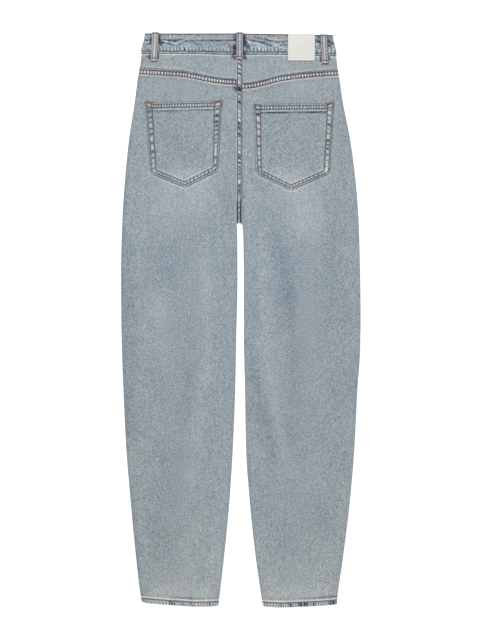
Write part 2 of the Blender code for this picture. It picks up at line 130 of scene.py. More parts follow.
# Denim: a cotton 3/1 twill with an indigo warp over an undyed weft, stone washed. Sewn-in
# and sheltered cloth stays indigo, and rubbed ridges go pale, so each mesh carries "fade".
# The fade also holds painted shade and painted highlights: along the leg edges, seams, rows, pockets, band
# and belt loops.
DENIM_TONES = (
    # share of fade, colour of the cloth
    (0.00, "#2F394F"),
    (0.22, "#576375"),
    (0.40, "#74818F"),
    (0.50, "#85929D"),
    (0.60, "#93A0AB"),
    (0.72, "#A3AEB7"),
    (0.86, "#BAC3C9"),
    (1.00, "#D6DCDF"),
)
RUBBED_TONES = (
    (0.00, "#2D364B"),
    (0.22, "#596273"),
    (0.40, "#78808C"),
    (0.50, "#8C9199"),
    (0.60, "#9BA0A6"),
    (0.72, "#ABAFB3"),
    (0.86, "#C2C5C7"),
    (1.00, "#DDDDDD"),
)
# Layers of the wash: size in mm, how much longer it is down the cloth, and detail.
GRAIN = (1.8, 1.2, 1.0)
SLUBS = (4.5, 5.0, 2.0)
CLOUDS = (60.0, 1.8, 3.0)
PATCHES = (22.0, 2.0, 2.0)
GRAIN_STRENGTH = 0.93
SLUB_STRENGTH = 0.14
CLOUD_STRENGTH = 0.16
PATCH_TINT = (1.05, 1.0, 0.93, 1.0)
TINTS = (
    # axis, metres from the middle where a tint starts and is whole, its red, green and blue
    ("Y", 0.10, -0.50, (1.03, 1.0, 0.94, 1.0)),
    ("Y", -0.43, -0.51, (1.05, 1.02, 1.02, 1.0)),
    ("Y", 0.18, 0.42, (1.02, 1.0, 0.975, 1.0)),
    ("X", 0.03, 0.20, (1.01, 1.0, 0.98, 1.0)),
)
# Real wales are about 0.9 mm apart. They are drawn twice as coarse, to show in the render.
TWILL_MM = 1.8
TWILL_LEAN = 27.0
# A wave texture of scale 1 repeats after about this many metres.
WAVE_PERIOD = 0.3183


def add_node(tree, kind, settings=None, inputs=None):
    """A node with its settings, and each input set to a value or linked from a socket."""
    node = tree.nodes.new(kind)
    for key, value in (settings or {}).items():
        setattr(node, key, value)
    for key, value in (inputs or {}).items():
        if isinstance(value, bpy.types.NodeSocket):
            tree.links.new(value, node.inputs[key])
        else:
            node.inputs[key].default_value = value
    return node


def grain_layer(tree, coordinates, size_mm, stretch, detail):
    """Noise whose cells are about size_mm across and stretch times longer down the cloth."""
    scale = 1.0 / (size_mm * MM)
    mapping = add_node(tree, "ShaderNodeMapping", inputs={
        "Vector": coordinates, "Scale": (scale, scale / stretch, scale / stretch),
    })
    return add_node(tree, "ShaderNodeTexNoise", inputs={
        "Vector": mapping.outputs[0], "Scale": 1.0, "Detail": detail, "Roughness": 0.6,
    }).outputs["Fac"]


def wave_layer(tree, coordinates, size_mm, direction, wobble=None):
    """Bands about size_mm apart."""
    return add_node(tree, "ShaderNodeTexWave", {"bands_direction": direction}, {
        "Vector": coordinates, "Scale": WAVE_PERIOD / (size_mm * MM), **(wobble or {}),
    }).outputs["Fac"]


def multiply_add(tree, value, factor, added, clamped=False):
    return add_node(tree, "ShaderNodeMath", {"operation": "MULTIPLY_ADD", "use_clamp": clamped}, {
        0: value, 1: factor, 2: added,
    }).outputs[0]


def tinted(tree, colour, share, tint):
    return add_node(tree, "ShaderNodeMix", {"data_type": "RGBA", "blend_type": "MULTIPLY"}, {
        0: share, 6: colour, 7: tint,
    }).outputs[2]


def colour_ramp(tree, share, tones):
    """The colour at a share, from rows of a share and its colour."""
    ramp = add_node(tree, "ShaderNodeValToRGB", inputs={"Fac": share})
    elements = ramp.color_ramp.elements
    while len(elements) < len(tones):
        elements.new(0.5)
    for element, (position, colour) in zip(elements, tones):
        element.position = position
        element.color = linear(colour)
    return ramp.outputs["Color"]


def add_bump(tree, shader, height, strength, distance_mm):
    bump = add_node(tree, "ShaderNodeBump", inputs={
        "Height": height, "Strength": strength, "Distance": distance_mm * MM,
    })
    tree.links.new(bump.outputs["Normal"], shader.inputs["Normal"])


def make_denim(name, tones, contrast, warmth, patchy=1.0):
    """Twill denim. Cloudy wash, warp slubs and grain are added to the fade of the mesh."""
    material, tree, shader = new_material(name)
    coordinates = add_node(tree, "ShaderNodeTexCoord").outputs["Object"]
    grain = grain_layer(tree, coordinates, *GRAIN)
    fade = add_node(tree, "ShaderNodeAttribute", {"attribute_name": "fade"}).outputs["Fac"]
    for layer, strength in (
        (grain, GRAIN_STRENGTH * contrast),
        (grain_layer(tree, coordinates, *SLUBS), SLUB_STRENGTH * contrast),
        (grain_layer(tree, coordinates, *CLOUDS), CLOUD_STRENGTH),
    ):
        change = multiply_add(tree, layer, strength, -strength / 2)
        fade = add_node(tree, "ShaderNodeMath", inputs={0: fade, 1: change}).outputs[0]
    # The wash left the seat bluer and the cloth towards the waist, sides and hems warmer.
    patches = grain_layer(tree, coordinates, *PATCHES)
    share = multiply_add(tree, patches, 0.9 * patchy * warmth, (0.3 - 0.45 * patchy) * warmth)
    colour = tinted(tree, colour_ramp(tree, fade, tones), share, PATCH_TINT)
    place = add_node(tree, "ShaderNodeSeparateXYZ", inputs={0: coordinates})
    either_side = add_node(tree, "ShaderNodeMath", {"operation": "ABSOLUTE"}, {0: place.outputs["X"]})
    for axis, start, whole, tint in TINTS:
        share = add_node(tree, "ShaderNodeMapRange", inputs={
            "Value": either_side.outputs[0] if axis == "X" else place.outputs[axis],
            "From Min": start, "From Max": whole, "To Min": 0.0, "To Max": warmth,
        })
        colour = tinted(tree, colour, share.outputs["Result"], tint)
    tree.links.new(colour, shader.inputs["Base Color"])
    # The wales run up to the right, as on right-hand twill.
    turned = add_node(tree, "ShaderNodeMapping", inputs={
        "Vector": coordinates, "Rotation": (0.0, 0.0, math.radians(TWILL_LEAN)),
    })
    wobble = {"Distortion": 2.0, "Detail": 1.0, "Detail Scale": 4.0}
    wales = wave_layer(tree, turned.outputs[0], TWILL_MM, "X", wobble)
    add_bump(tree, shader, multiply_add(tree, grain, 1.2, wales), 0.35, 0.4)
    shader.inputs["Roughness"].default_value = 0.92
    shader.inputs["Specular IOR Level"].default_value = 0.25
    shader.inputs["Sheen Weight"].default_value = 0.12
    shader.inputs["Sheen Roughness"].default_value = 0.6
    return material


denim = make_denim("washed_indigo_twill", DENIM_TONES, 0.96, 1.0)
pocket_denim = make_denim("washed_pocket_twill", DENIM_TONES, 1.0, 1.0, 2.6)
rubbed_denim = make_denim("rubbed_indigo_twill", RUBBED_TONES, 1.0, 0.5)
hem_denim = make_denim("rubbed_hem_twill", RUBBED_TONES, 1.0, 0.2)
loop_denim = make_denim("rubbed_loop_twill", RUBBED_TONES, 0.7, 1.0)


# Cut of the legs: the outseams bow out to the knee and the inseams part from the crotch,
# which makes the barrel. Sizes are in millimetres, down from the tops of the belt loops.
CENTRE_SEAM = -2.8
CROTCH = 345.0
CROTCH_EASE = 1.2
SEAM_GAP = 0.3
OUTSEAM = (
    # down, left, right
    (0.0, -173.3, 166.6),
    (22.0, -175.1, 167.8),
    (38.0, -179.3, 172.0),
    (55.0, -181.7, 173.8),
    (80.0, -186.3, 178.0),
    (125.0, -192.2, 184.7),
    (200.0, -203.4, 199.1),
    (280.0, -211.0, 209.0),
    (342.0, -214.8, 213.4),
    (430.0, -217.0, 215.9),
    (510.0, -216.7, 217.0),
    (570.0, -215.6, 216.2),
    (650.0, -212.6, 210.9),
    (750.0, -207.7, 205.9),
    (850.0, -199.4, 197.4),
    (950.0, -189.8, 185.1),
    (1025.0, -180.5, 174.6),
    (1040.0, -176.4, 173.4),
)
INSEAM = (
    # down, left, right
    (345.0, -7.6, 2.7),
    (375.0, -6.4, 4.5),
    (450.0, -6.3, 5.4),
    (550.0, -8.3, 5.5),
    (650.0, -10.3, 7.6),
    (750.0, -14.4, 9.3),
    (850.0, -20.8, 16.3),
    (950.0, -30.4, 27.0),
    (1040.0, -41.0, 40.0),
)
HEM = (
    # across from the outseam, left, right
    (0.00, 1031.5, 1034.5),
    (0.25, 1034.5, 1037.2),
    (0.50, 1036.8, 1038.6),
    (0.75, 1038.6, 1040.0),
    (1.00, 1037.5, 1038.3),
)
YOKE_SEAM = (
    # across from the outseam, left, right
    (0.00, 76.2, 79.2),
    (0.15, 78.0, 81.2),
    (0.30, 80.0, 83.4),
    (0.45, 81.9, 86.6),
    (0.60, 87.6, 91.0),
    (0.75, 93.2, 97.9),
    (0.90, 96.2, 103.2),
    (1.00, 96.7, 104.2),
)
BAND_EDGES = (
    # across from the left outseam to the right one, top, bottom
    (0.00, 1.1, 38.0),
    (0.10, 1.5, 37.9),
    (0.25, 1.5, 38.0),
    (0.45, 1.3, 39.8),
    (0.60, 2.0, 39.4),
    (0.75, 2.8, 40.0),
    (0.90, 4.0, 42.0),
    (1.00, 4.0, 42.6),
)
LEFT, RIGHT = 1, 2
SIDES = (("left", LEFT), ("right", RIGHT))
INWARD = {LEFT: 1.0, RIGHT: -1.0}
TOP, BOTTOM = 1, 2
POCKET_CORNERS = {
    # upper outer, upper inner, lower inner, lowest, lower outer corner
    LEFT: ((-173.8, 123.6), (-33.2, 122.2), (-41.4, 249.6), (-100.9, 280.2), (-163.4, 254.6)),
    RIGHT: ((168.8, 125.4), (23.2, 128.6), (27.6, 254.1), (90.5, 285.2), (160.8, 254.7)),
}
FRONT_DIP = 11.0


def along(table, column, at):
    """A table's column at some places, on a curve that never overshoots between its rows."""
    keys = np.array([row[0] for row in table])
    values = np.array([row[column] for row in table])
    widths = np.diff(keys)
    slopes = np.diff(values) / widths
    tangents = np.concatenate((slopes[:1], np.zeros(len(slopes) - 1), slopes[-1:]))
    same_way = slopes[:-1] * slopes[1:] > 0
    before, after = slopes[:-1][same_way], slopes[1:][same_way]
    tangents[1:-1][same_way] = 2 * before * after / (before + after)
    at = np.clip(at, keys[0], keys[-1])
    i = np.clip(np.searchsorted(keys, at, side="right") - 1, 0, len(widths) - 1)
    t = (at - keys[i]) / widths[i]
    start = (2 * t ** 3 - 3 * t ** 2 + 1) * values[i] + (t ** 3 - 2 * t ** 2 + t) * widths[i] * tangents[i]
    end = (3 * t ** 2 - 2 * t ** 3) * values[i + 1] + (t ** 3 - t ** 2) * widths[i] * tangents[i + 1]
    return start + end


def ease(start, end, at):
    t = np.clip((at - start) / (end - start), 0.0, 1.0)
    return t * t * (3.0 - 2.0 * t)


def inner_edge(side, down):
    """The centre seam above the crotch and the inseam below it."""
    seam = CENTRE_SEAM - INWARD[side] * SEAM_GAP / 2
    share = np.clip((down - (CROTCH - CROTCH_EASE)) / (2 * CROTCH_EASE), 0.0, 1.0)
    return seam + share * (along(INSEAM, side, down) - seam)


def across_panel(side, x, down):
    outer = along(OUTSEAM, side, down)
    return (x - outer) / (inner_edge(side, down) - outer)


def seam_down(table, side, x):
    """How far down a yoke seam or a hem runs at x."""
    nominal = table[0][1]
    return along(table, side, across_panel(side, x, nominal))


def band_across(x):
    return np.clip((x - OUTSEAM[0][LEFT]) / (OUTSEAM[0][RIGHT] - OUTSEAM[0][LEFT]), 0.0, 1.0)


def back_band(x, edge):
    return along(BAND_EDGES, edge, band_across(x))


def front_band(x, edge):
    share = band_across(x)
    sides = BAND_EDGES[0][edge] + share * (BAND_EDGES[-1][edge] - BAND_EDGES[0][edge])
    return sides + FRONT_DIP * np.sin(math.pi * share)


# How the cloth lies: two layers with a little air between them, rounded at the outseams
# and the inseams, and lifted at the waist by the thicker band. Heights are over the floor.
LEG_TOP = 5.4
LEG_CROWN = 0.6
LOOP_THICKNESS = 1.6
BAND_THICKNESS = 2.8
DENIM_THICKNESS = 1.1
BAND_UNDERSIDE = LOOP_THICKNESS + SEAM_GAP
BAND_MIDDLE = BAND_UNDERSIDE + BAND_THICKNESS + SEAM_GAP / 2
BAND_TOP = BAND_MIDDLE + SEAM_GAP / 2 + BAND_THICKNESS
SET_IN = 0.65
# The sewing on the front holds its cloth this far off the floor.
FRONT_LIES = 0.7
LIFT_STARTS, LIFT_ENDS = 118.0, 46.0
SHOULDER = 12.0
EDGE_TURN = 2.2
EDGE_SLOPE_DROP = 0.6
FOLDS = (
    # side, x and down at its start, x and down at its end, width, height
    (RIGHT, 20.0, 470.0, 80.0, 800.0, 26.0, 0.7),
    (RIGHT, 128.0, 420.0, 122.0, 650.0, 34.0, 0.5),
    (LEFT, -70.0, 372.0, -74.0, 590.0, 28.0, 0.6),
    (LEFT, -150.0, 440.0, -136.0, 640.0, 36.0, 0.5),
    (LEFT, -92.0, 700.0, -104.0, 900.0, 30.0, 0.5),
)


def lifted(down):
    return ease(LIFT_STARTS, LIFT_ENDS, down)


def back_level(down):
    return LEG_TOP + (BAND_TOP - SET_IN - LEG_TOP) * lifted(down)


def front_level(down):
    return FRONT_LIES + (BAND_UNDERSIDE + SET_IN - FRONT_LIES) * lifted(down)


def edge_drop(away, depth):
    """How far a surface has turned down at a distance from its rounded edge."""
    slope = EDGE_SLOPE_DROP * (1.0 - np.clip((away - EDGE_TURN) / (SHOULDER - EDGE_TURN), 0, 1)) ** 2
    turn = 1.0 - np.sqrt(1.0 - np.clip(1.0 - away / EDGE_TURN, 0.0, 1.0) ** 2)
    return slope + (depth - EDGE_SLOPE_DROP) * turn


def inner_roundness(down):
    """0 along the centre seam, and 1 down the inseams, which are rounded edges."""
    return ease(CROTCH - 13.0, CROTCH + 6.0, down)


def edges_away(side, x, down):
    """How far a place is from the outseam and from the inner edge."""
    return np.abs(x - along(OUTSEAM, side, down)), np.abs(inner_edge(side, down) - x)


def both_edges_drop(side, x, down):
    depth = (back_level(down) - front_level(down)) / 2 - SEAM_GAP / 2
    outer_away, inner_away = edges_away(side, x, down)
    return edge_drop(outer_away, depth) + inner_roundness(down) * edge_drop(inner_away, depth)


def fold_height(side, x, down):
    height = np.zeros(np.broadcast(x, down).shape)
    for fold_side, x0, down0, x1, down1, width, high in FOLDS:
        if fold_side != side:
            continue
        share = np.clip((down - down0) / (down1 - down0), 0.0, 1.0)
        away = (x - (x0 + (x1 - x0) * share)) / width
        height = height + high * np.sin(math.pi * share) ** 2 * np.exp(-2.0 * away * away)
    return height


def back_top(side, x, down):
    """Height of the outside of the back at a place."""
    first = along(OUTSEAM, side, down) + INWARD[side] * SHOULDER
    last = inner_edge(side, down) - INWARD[side] * SHOULDER
    swell = np.sin(math.pi * np.clip((x - first) / (last - first), 0.0, 1.0))
    top = back_level(down) + LEG_CROWN * swell ** 2 + fold_height(side, x, down) * swell
    return top - both_edges_drop(side, x, down)


def front_under(side, x, down):
    """Height of the outside of the front, which faces the floor."""
    return front_level(down) + both_edges_drop(side, x, down)


def metres(x, down, height):
    """Places on the garment as rows of points in metres."""
    y = cad_high.y - np.asarray(down) * MM
    return np.stack(np.broadcast_arrays(np.asarray(x) * MM, y, np.asarray(height) * MM), axis=-1)


def steps(*stops):
    """Values from the first stop on, as (stop, spacing up to it) pairs after the start."""
    values = [np.array([stops[0]])]
    for stop, spacing in stops[1:]:
        start = values[-1][-1]
        count = max(1, round(abs(stop - start) / spacing))
        values.append(np.linspace(start, stop, count + 1)[1:])
    return np.concatenate(values)


def cloth(name, points, fade, thickness, material, flip=False, under=None):
    """A sheet of cloth: a grid whose points are put in place, and its inside under it."""
    rows, columns = points.shape[:2]
    deselect()
    bpy.ops.mesh.primitive_grid_add(x_subdivisions=columns - 1, y_subdivisions=rows - 1, size=1.0)
    sheet = bpy.context.object
    sheet.name = name
    sheet.data.name = name
    sheet.data.vertices.foreach_set("co", points.astype(np.float32).ravel())
    if flip:
        sheet.data.flip_normals()
    held = sheet.data.attributes.new("fade", "FLOAT", "POINT")
    held.data.foreach_set("value", np.broadcast_to(fade, (rows, columns)).astype(np.float32).ravel())
    wall = sheet.modifiers.new("cloth thickness", "SOLIDIFY")
    wall.thickness = thickness * MM
    wall.offset = -1.0
    bpy.ops.object.modifier_apply(modifier=wall.name)
    if under is not None:
        # Solidify keeps the outside first and adds the inside after it, in the same order.
        places = np.concatenate((points.reshape(-1, 3), under.reshape(-1, 3)))
        sheet.data.vertices.foreach_set("co", places.astype(np.float32).ravel())
        sheet.data.update()
    sheet.data.shade_smooth()
    sheet.data.set_sharp_from_angle(angle=math.radians(50.0))
    sheet.data.materials.clear()
    sheet.data.materials.append(material)
    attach(sheet, "root")
    return sheet


# Wash: wear rubbed the seat, the thighs and the cloth over the hems pale, in streaks that
# follow the folds of the legs, and left the cloth between them and by the outseams darker.
BASE_FADE = 0.60
WASH = (
    # x and down at each end of a streak, half width, change of fade
    (-116.0, 290.0, -84.0, 302.0, 38.0, 0.085),
    (104.0, 290.0, 116.0, 342.0, 36.0, 0.10),
    (-110.0, 256.0, -76.0, 264.0, 18.0, 0.08),
    (72.0, 260.0, 104.0, 268.0, 18.0, 0.06),
    (-126.0, 168.0, -96.0, 222.0, 34.0, -0.045),
    (66.0, 168.0, 120.0, 216.0, 36.0, -0.035),
    (-48.0, 150.0, -44.0, 220.0, 12.0, 0.03),
    (24.0, 110.0, 40.0, 230.0, 16.0, 0.03),
    (110.0, 90.0, 160.0, 96.0, 26.0, 0.04),
    (150.0, 262.0, 156.0, 150.0, 18.0, 0.05),
    (-110.0, 420.0, -110.0, 880.0, 84.0, -0.018),
    (110.0, 420.0, 110.0, 880.0, 84.0, -0.022),
    (-145.0, 785.0, -110.0, 830.0, 36.0, -0.03),
    (50.0, 790.0, 56.0, 826.0, 13.0, -0.04),
    (166.0, 380.0, 166.0, 780.0, 20.0, -0.035),
    (-50.0, 960.0, -60.0, 1015.0, 24.0, 0.04),
    (80.0, 975.0, 125.0, 985.0, 34.0, 0.03),
    (60.0, 372.0, 86.0, 470.0, 15.0, -0.07),
    (88.0, 480.0, 90.0, 530.0, 15.0, -0.09),
    (92.0, 560.0, 98.0, 660.0, 15.0, -0.05),
    (90.0, 700.0, 84.0, 740.0, 14.0, -0.04),
    (42.0, 366.0, 44.0, 480.0, 12.0, 0.05),
    (44.0, 490.0, 52.0, 620.0, 12.0, 0.05),
    (54.0, 630.0, 80.0, 764.0, 10.0, 0.06),
    (12.0, 560.0, 40.0, 700.0, 11.0, -0.07),
    (42.0, 705.0, 62.0, 775.0, 10.0, -0.05),
    (128.0, 410.0, 134.0, 640.0, 22.0, 0.025),
    (204.0, 470.0, 200.0, 640.0, 16.0, -0.015),
    (16.0, 262.0, 18.0, 325.0, 9.0, 0.05),
    (-64.0, 372.0, -62.0, 620.0, 13.0, 0.05),
    (-66.0, 625.0, -92.0, 800.0, 14.0, 0.045),
    (-92.0, 805.0, -92.0, 985.0, 20.0, 0.04),
    (-150.0, 490.0, -150.0, 550.0, 22.0, 0.04),
    (-206.0, 380.0, -200.0, 720.0, 14.0, -0.06),
    (-120.0, 385.0, -130.0, 440.0, 26.0, -0.035),
    (-97.0, 610.0, -97.0, 680.0, 13.0, -0.04),
    (-150.0, 720.0, -150.0, 760.0, 26.0, -0.02),
    (-150.0, 845.0, -148.0, 935.0, 24.0, -0.05),
    (-28.0, 690.0, -46.0, 960.0, 14.0, 0.03),
    (150.0, 840.0, 146.0, 900.0, 22.0, -0.02),
    (-150.0, 1016.0, -70.0, 1020.0, 20.0, 0.09),
    (60.0, 1018.0, 150.0, 1014.0, 20.0, 0.09),
    (-24.0, 296.0, -20.0, 336.0, 11.0, -0.04),
    (-34.0, 68.0, 30.0, 68.0, 12.0, 0.03),
)
# Darker places on the back: beside and under the loops, painted shadow that the loops cast over cloth they
# kept from the wash, and one at the crossing of the seams.
LOOP_SHADOWS_AND_SHELTER = (
    (-11.0, 99.0, -8.0, 104.0, 3.2, -0.35),
    (-15.0, 41.0, -10.0, 46.0, 2.8, -0.60),
    (6.2, 41.0, 8.0, 46.0, 2.6, -0.60),
    (-164.6, 40.0, -165.2, 48.0, 1.5, -0.60),
    (-166.0, 42.5, -171.0, 43.5, 1.3, -0.40),
    (-149.4, 40.0, -150.0, 47.0, 1.5, -0.60),
    (144.0, 43.0, 144.8, 52.0, 1.5, -0.60),
    (159.4, 43.0, 160.0, 50.0, 1.5, -0.50),
    (147.0, 57.0, 158.0, 57.4, 1.2, -0.50),
    (-162.0, 52.8, -152.0, 52.8, 1.2, -0.40),
)
# Painted shade where the cloth turns under at the outseam, left and right, and at the inseam.
OUTSEAM_SHADE = {LEFT: 0.09, RIGHT: 0.03}
INSEAM_SHADE = 0.05


def bell(away, half_width):
    """1 on a line, and soft on both sides of it."""
    return np.exp(-(away / half_width) ** 2)


def near_line(x, down, start, end):
    """How far along a line a place lies, as a share, and how far it is from the line."""
    run_x, run_down = end[0] - start[0], end[1] - start[1]
    share = ((x - start[0]) * run_x + (down - start[1]) * run_down) / (run_x ** 2 + run_down ** 2)
    near = np.clip(share, 0.0, 1.0)
    return share, np.hypot(x - start[0] - run_x * near, down - start[1] - run_down * near)


def washed(x, down, streaks=WASH + LOOP_SHADOWS_AND_SHELTER):
    """The fade of the plain cloth at a place, without its seams, and by default with the painted shadows by
    the loops.
    """
    fade = np.full(np.broadcast(x, down).shape, BASE_FADE)
    for x0, down0, x1, down1, half_width, change in streaks:
        fade = fade + change * bell(near_line(x, down, (x0, down0), (x1, down1))[1], half_width)
    return fade


def edge_painted_shade(side, x, down):
    """Painted shade along the rounded edges."""
    outer_away, inner_away = edges_away(side, x, down)
    inseam = INSEAM_SHADE * inner_roundness(down) * bell(inner_away, 4.0)
    return -OUTSEAM_SHADE[side] * bell(outer_away, 6.0) - inseam


# Legs: each is a front and a back panel of denim, joined at the outseam and the inseam.
# The backs carry the pockets and the yoke seam, and the fronts lie on the floor.
EDGE_STEPS = (0.0, (0.6, 0.2), (2.2, 0.4), (4.6, 0.8), (SHOULDER, 1.85))
LEG_CELL = 4.6
BACK_CELL = 2.6
CROTCH_ROWS = ((335.0, 5.0), (341.0, 1.5), (349.0, 0.8), (356.0, 1.8))
HEM_MEAN = 1036.0
HEM_HEIGHT = 10.8
YOKE_MEAN = 83.0
FRONT_WAIST_MEAN = 47.0
# Marks on the back: distance, half width, change of fade.
OVER_HEM = ((0.0, 1.4, 0.26), (3.6, 1.5, -0.06))
OVER_HEM_BROKEN = ((3.6, 1.5, -0.30),)
HEM_BREAK_AT = {LEFT: 85.0, RIGHT: 14.0}
# Under the yoke seam: a pale line, then a faint painted shadow.
UNDER_YOKE = ((0.0, 1.0, 0.34), (4.0, 1.8, -0.07))
UNDER_POCKET = ((2.6, 1.7, 0.17),)


def marks(away, table):
    """The sum of soft marks, from rows of where each lies, its half width and its strength."""
    return sum(strength * bell(away - at, half_width) for at, half_width, strength in table)


def panel_columns(side, down, cell=LEG_CELL):
    """x of each column at each row: even across the middle and close at the edges."""
    first = steps(*EDGE_STEPS) - SHOULDER
    last = -first[::-1]
    middle = np.linspace(0.0, 1.0, round(180.0 / cell) + 1)
    share = np.concatenate((np.zeros(len(first) - 1), middle, np.ones(len(last) - 1)))
    offset = np.concatenate((first[:-1], np.zeros(len(middle)), last[1:]))
    inward = INWARD[side]
    outer = along(OUTSEAM, side, down) + inward * SHOULDER
    inner = inner_edge(side, down) - inward * SHOULDER
    return outer + share * (inner - outer) + inward * offset


def panel_grid(side, top_line, rows, top_mean, cell=LEG_CELL):
    """x and down of a leg panel's grid, whose rows bend to the seam above and the hem."""
    x = panel_columns(side, rows[:, None], cell)
    to_top = ease(top_mean + 115.0, top_mean, rows)[:, None]
    to_hem = ease(930.0, HEM_MEAN, rows)[:, None]
    hem = seam_down(HEM, side, x[-1])
    down = rows[:, None] + to_top * (top_line(x[0]) - top_mean) + to_hem * (hem - HEM_MEAN)
    return panel_columns(side, down, cell), down


def hem_mark(side, x, down):
    """The rubbed line over a hem, under a darker one that comes and goes."""
    over = seam_down(HEM, side, x) - HEM_HEIGHT - down
    broken = bell(edges_away(side, x, down)[0] - HEM_BREAK_AT[side], 34.0)
    return marks(over, OVER_HEM) + broken * marks(over, OVER_HEM_BROKEN)


def under_pocket(side, x, down):
    """The rubbed line that a pocket's lower edges have pressed into the cloth of the leg."""
    lower_edges = POCKET_CORNERS[side][2:]
    pressed = [
        marks(near_line(x, down, start, end)[1], UNDER_POCKET)
        for start, end in zip(lower_edges, lower_edges[1:])
    ]
    return np.maximum(*pressed)


for side_name, side in SIDES:
    rows = steps(
        YOKE_MEAN + SEAM_GAP / 2, (85.0, 0.5), (90.0, 1.2), (296.0, 2.4), *CROTCH_ROWS,
        (HEM_MEAN - HEM_HEIGHT - 10.0, 5.4), (HEM_MEAN - HEM_HEIGHT + 0.6, 1.2),
    )
    x, down = panel_grid(side, lambda at: seam_down(YOKE_SEAM, side, at), rows, YOKE_MEAN, BACK_CELL)
    fade = washed(x, down) + edge_painted_shade(side, x, down) + hem_mark(side, x, down)
    fade = fade + under_pocket(side, x, down) + marks(down - seam_down(YOKE_SEAM, side, x), UNDER_YOKE)
    back_leg = cloth(
        "back_leg_shell_" + side_name, metres(x, down, back_top(side, x, down)), fade,
        DENIM_THICKNESS, denim, flip=side == LEFT,
    )
    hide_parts("back_leg_" + side_name)

    rows = steps(FRONT_WAIST_MEAN + SEAM_GAP / 2, (200.0, 6.0), *CROTCH_ROWS, (HEM_MEAN - HEM_HEIGHT, 8.0))
    x, down = panel_grid(side, lambda at: front_band(at, BOTTOM), rows, FRONT_WAIST_MEAN)
    fade = washed(-x, down, WASH) + edge_painted_shade(side, x, down)
    front_leg = cloth(
        "front_leg_shell_" + side_name, metres(x, down, front_under(side, x, down)), fade,
        DENIM_THICKNESS, denim, flip=side == RIGHT,
    )
    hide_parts("front_leg_" + side_name)


# Yokes: two shaped pieces of denim over the seat, let into the waistband above and felled
# to the legs and to each other below and at the centre.
YOKE_CELL = 2.0
YOKE_SEAM_TOP = 12.0
IMPRINT_ABOVE = 3.2
IMPRINT_HEIGHT = 0.25
# Marks over the seam and under the band: distance, half width, change of fade.
# Over the seam: a pale imprint of the turnings, then painted shadow along the seam's upper edge.
YOKE_IMPRINT = ((0.0, 1.2, 0.15), (-2.8, 1.5, -0.20))
# Under the band: painted shadow along its edge, then a pale line that is partly a rubbed ridge and partly a
# painted highlight.
UNDER_BAND = ((1.7, 1.0, 0.42), (0.0, 0.7, -0.30))


def seam_columns(side, mean_down, cell):
    """One row of columns, for a strip that lies about mean_down."""
    return panel_columns(side, np.full((1, 1), mean_down), cell)


for side_name, side in SIDES:
    x = seam_columns(side, 60.0, YOKE_CELL)
    top = back_band(x, BOTTOM) + SEAM_GAP / 2
    bottom = seam_down(YOKE_SEAM, side, x) - YOKE_SEAM_TOP + 1.0
    down = top + (bottom - top) * np.linspace(0.0, 1.0, 26)[:, None]
    x = panel_columns(side, down, YOKE_CELL)
    # The turnings under the seam show through as a rubbed line above it.
    over = seam_down(YOKE_SEAM, side, x) - YOKE_SEAM_TOP - IMPRINT_ABOVE - down
    height = back_top(side, x, down) + IMPRINT_HEIGHT * bell(over, 1.6)
    fade = washed(x, down) + edge_painted_shade(side, x, down) + 0.01 + marks(over, YOKE_IMPRINT)
    fade = fade + marks(down - back_band(x, BOTTOM), UNDER_BAND)
    yoke = cloth(
        "back_yoke_shell_" + side_name, metres(x, down, height), fade,
        DENIM_THICKNESS, denim, flip=side == LEFT,
    )
    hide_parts("back_yoke_" + side_name)


# Sewing thread: thick spun polyester in tan, laid in lockstitches about eight to the inch
# and rubbed pale in the wash. Each stitch is a small rounded bar that dips at its ends.
STITCH_LENGTH = 2.8
STITCH_GAP = 0.4
# Real thread is about 0.6 mm wide. It is drawn twice as wide, to show in the render.
STITCH_WIDTH = 1.3
PLY_MM = 0.7
THREAD_SHADES = (9.0, 1.0, 2.0)
# Bars lie closer than stitches, over one another.
BAR_PITCH = 0.7
BAR_FLATNESS = 0.8


def make_thread(name, dark, light):
    """Spun thread: two shades in patches, with the twist of its plies as relief."""
    material, tree, shader = new_material(name)
    coordinates = add_node(tree, "ShaderNodeTexCoord").outputs["Object"]
    shades = grain_layer(tree, coordinates, *THREAD_SHADES)
    colour = colour_ramp(tree, shades, ((0.32, dark), (0.68, light)))
    tree.links.new(colour, shader.inputs["Base Color"])
    add_bump(tree, shader, wave_layer(tree, coordinates, PLY_MM, "DIAGONAL"), 0.5, 0.1)
    shader.inputs["Roughness"].default_value = 0.62
    shader.inputs["Sheen Weight"].default_value = 0.15
    return material


tan_thread = make_thread("tan_spun_thread", "#553A22", "#87633D")
grey_thread = make_thread("faded_tan_spun_thread", "#574A42", "#837970")
dark_thread = make_thread("brown_spun_thread", "#151414", "#2D2A29")
bar_thread = make_thread("light_brown_spun_thread", "#6B452D", "#98704F")
hem_thread = make_thread("golden_brown_spun_thread", "#664930", "#96774F")

deselect()
bpy.ops.mesh.primitive_uv_sphere_add(segments=6, ring_count=4, radius=1.0)
bar = bpy.context.object
STITCH_POINTS = np.array([tuple(v.co) for v in bar.data.vertices])
STITCH_FACES = [tuple(f.vertices) for f in bar.data.polygons]
bpy.data.objects.remove(bar, do_unlink=True)


def path_points(points, at):
    """Places at some distances along a line of (x, down) points, and its direction there."""
    points = np.asarray(points, dtype=float)
    lengths = np.hypot(*np.diff(points, axis=0).T)
    travelled = np.concatenate(([0.0], np.cumsum(lengths)))
    at = np.clip(at, 0.0, travelled[-1])
    i = np.clip(np.searchsorted(travelled, at, side="right") - 1, 0, len(lengths) - 1)
    toward = (np.diff(points, axis=0) / np.maximum(lengths, 1e-6)[:, None])[i]
    return points[i] + toward * (at - travelled[i])[..., None], toward


def path_length(points):
    return np.hypot(*np.diff(np.asarray(points, dtype=float), axis=0).T).sum()


def crosswise(toward):
    return np.stack((-toward[..., 1], toward[..., 0]), axis=-1)


